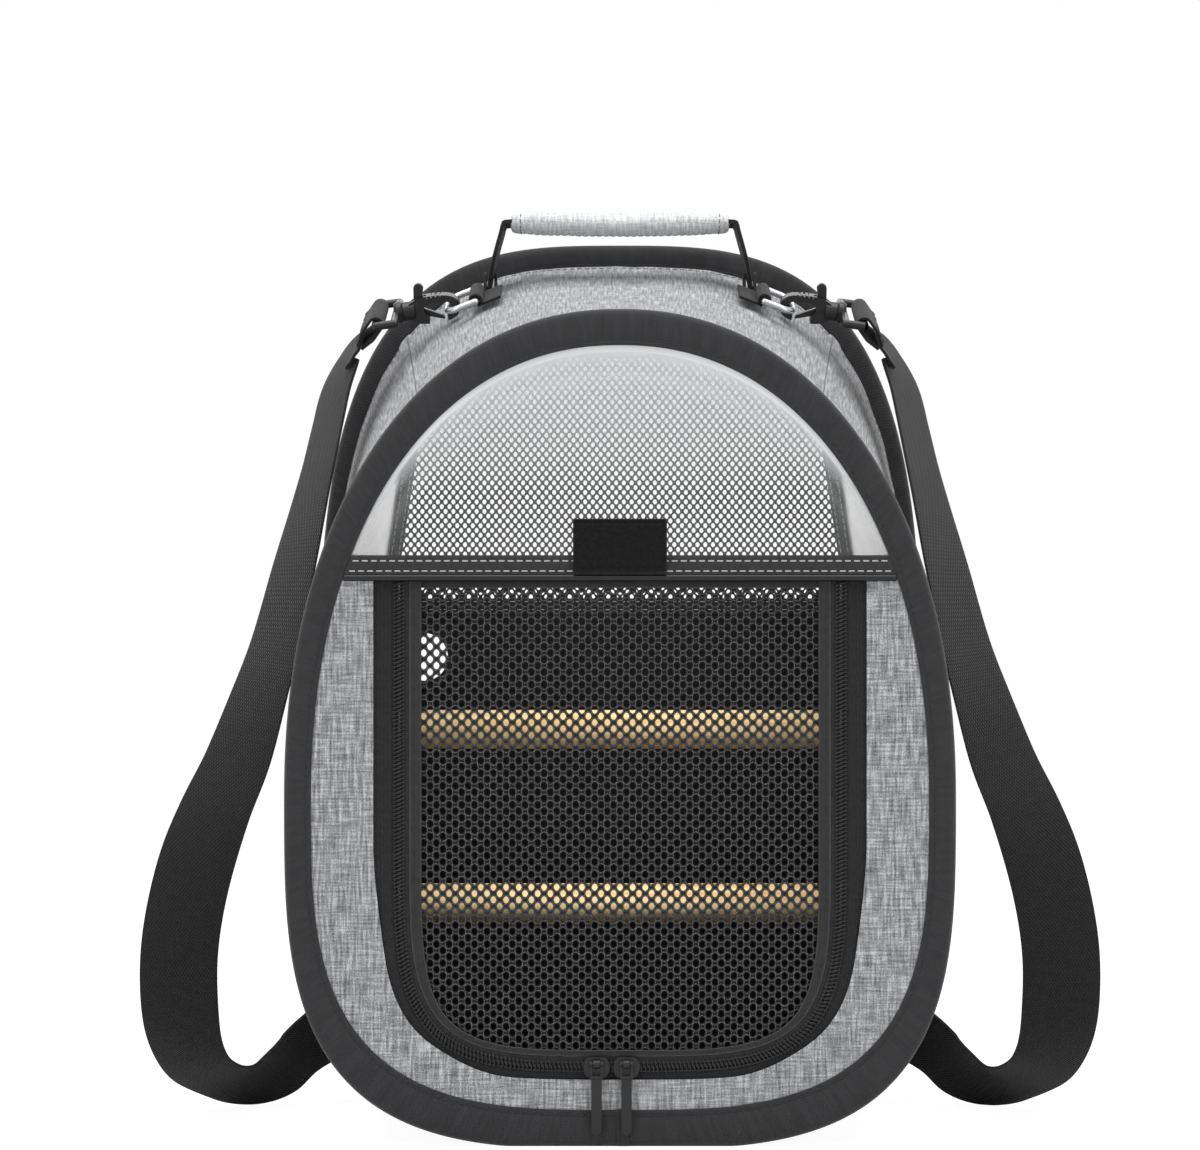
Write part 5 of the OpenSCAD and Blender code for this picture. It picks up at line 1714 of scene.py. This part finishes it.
def handleEars():
    slope = ear["radius"] * (handle["footX"] - handle["halfTop"]) / (handle["gripZ"] - handle["pivotZ"])
    inner = handle["footX"] - handle["webThickness"] / 2 - ear["gap"] - ear["thickness"] - slope
    outer = handle["footX"] + handle["webThickness"] / 2 + ear["gap"]
    for sign in (1, -1):
        for number, x in enumerate((inner, outer)):
            def form(u, v):
                t = mix(-1, 1, u)
                bottomY = handle["y"] + t * (ear["radius"] + 3)
                bottomZ = heightAt(seamAt(bottomY), x) + 0.1
                topY = handle["y"] + t * ear["radius"]
                topZ = handle["pivotZ"] + math.sqrt(max(0, 1 - t * t)) * ear["radius"]
                across = sign * (x + ear["thickness"] / 2)
                return Vector((across, mix(bottomY, topY, v), mix(bottomZ, topZ, v))) * mm

            name = "handleEar" + ("R" if sign > 0 else "L") + str(number)
            piece = formedGrid(name, 16, 10, form, uvSize=(14, 12))
            faceTo(piece, (sign, 0, 0))
            applyModifier(piece, "SOLIDIFY", thickness=ear["thickness"] * mm, offset=0)
            applyModifier(piece, "BEVEL", width=0.3 * mm, segments=2, limit_method="ANGLE")
            smooth(piece, 50)
            dress(piece, finish["strap"], "root", "handle_feet", slotName="strap_webbing")


handleEars()
print("stage: handle")


# ---------- swivel snap hooks ----------

def webbingLoop(name, frame, path, width, thickness, sign, body, replaced):
    # path points are (x, z) in the frame's own plane, in millimetres
    points = [frame @ (Vector((x, 0, z)) * mm) / mm for x, z in path]
    across = (frame.to_3x3() @ Vector((0, 1, 0))).normalized()
    if sign < 0:
        points = mirrored(points)
        across = Vector((-across.x, across.y, across.z))
    strip = ribbon(name, points, [across] * len(points), width / 2, thickness, finish["strap"])
    dress(strip, finish["strap"], body, replaced, slotName="strap_webbing")
    return strip


def arcPath(centre, radius, start, end, steps):
    return [(centre[0] + radius * math.cos(math.radians(mix(start, end, k / steps))),
             centre[1] + radius * math.sin(math.radians(mix(start, end, k / steps)))) for k in range(steps + 1)]


def clipLoops():
    ringLoop = clip["ringWire"] / 2 + clip["gap"] + 0.9
    slope = math.degrees(math.atan2(heightAt(seamAt(34), 63) - heightAt(seamAt(34), 76), 13))
    eyeLoop = clip["eyeWire"] + clip["gap"] + clip["loopThickness"] / 2
    for side, sign in (("right", 1), ("left", -1)):
        start = 180 + (90 - slope)
        lower = arcPath((0, 0), ringLoop, start - 300, start, 26)
        d = Vector((-math.cos(math.radians(slope)), math.sin(math.radians(slope))))
        tail = [(lower[-1][0] + d.x * k, lower[-1][1] + d.y * k) for k in (2, 5, 8, 11, 13)]
        webbingLoop("ringTab" + side.capitalize(), clipFrame(), lower + tail, 24.5, 1.7, sign, "root",
                    "ring_tabs")
        drop = dropFrame()
        reach = clip["loopLength"] - 0.6
        upper = [(mix(reach, 0, k / 8), mix(1.15, eyeLoop, min(1, k / 4))) for k in range(8)]
        under = [(x, -z) for x, z in reversed(upper)]
        path = upper + arcPath((0, 0), eyeLoop, 90, 270, 22) + under
        webbingLoop("strapLoop" + side.capitalize(), drop, path, clip["loopWidth"], 1.9, sign, "ring_" + side,
                    "strap_loop_" + side)
        frames = []
        corners = [(5.5, -17), (14, -17), (14, 17), (5.5, 17), (5.5, -17), (14, 17)]
        outwardNormal = (drop.to_3x3() @ Vector((0, 0, 1))).normalized()
        for a, b in zip(corners, corners[1:]):
            for k in range(10):
                x, y = mix(a[0], b[0], k / 10), mix(a[1], b[1], k / 10)
                rise = mix(eyeLoop, 1.15, min(1, max(0, (x - 7.7) / 7.7))) + 1.05
                p = drop @ (Vector((x, y, rise)) * mm)
                n = outwardNormal.copy()
                if sign < 0:
                    p.x, n.x = -p.x, -n.x
                frames.append((p, n))
        stitchRow("loopStitches" + side.capitalize(), frames, 3.4, (2.3, 0.6, 0.4), blackThread,
                  "ring_" + side)
        faceWith(finish["steel"], "d_ring_" + side)
        faceWith(finish["plastic"], "swivel_eye_" + side, "snap_hook_" + side, "hook_lever_" + side)


clipLoops()
faceWith(finish["plastic"], "slider_left", "slider_right")
faceWith(finish["pull"], "pull_left", "pull_right")
print("stage: clips")


# ---------- end ----------------

print("stage: done")
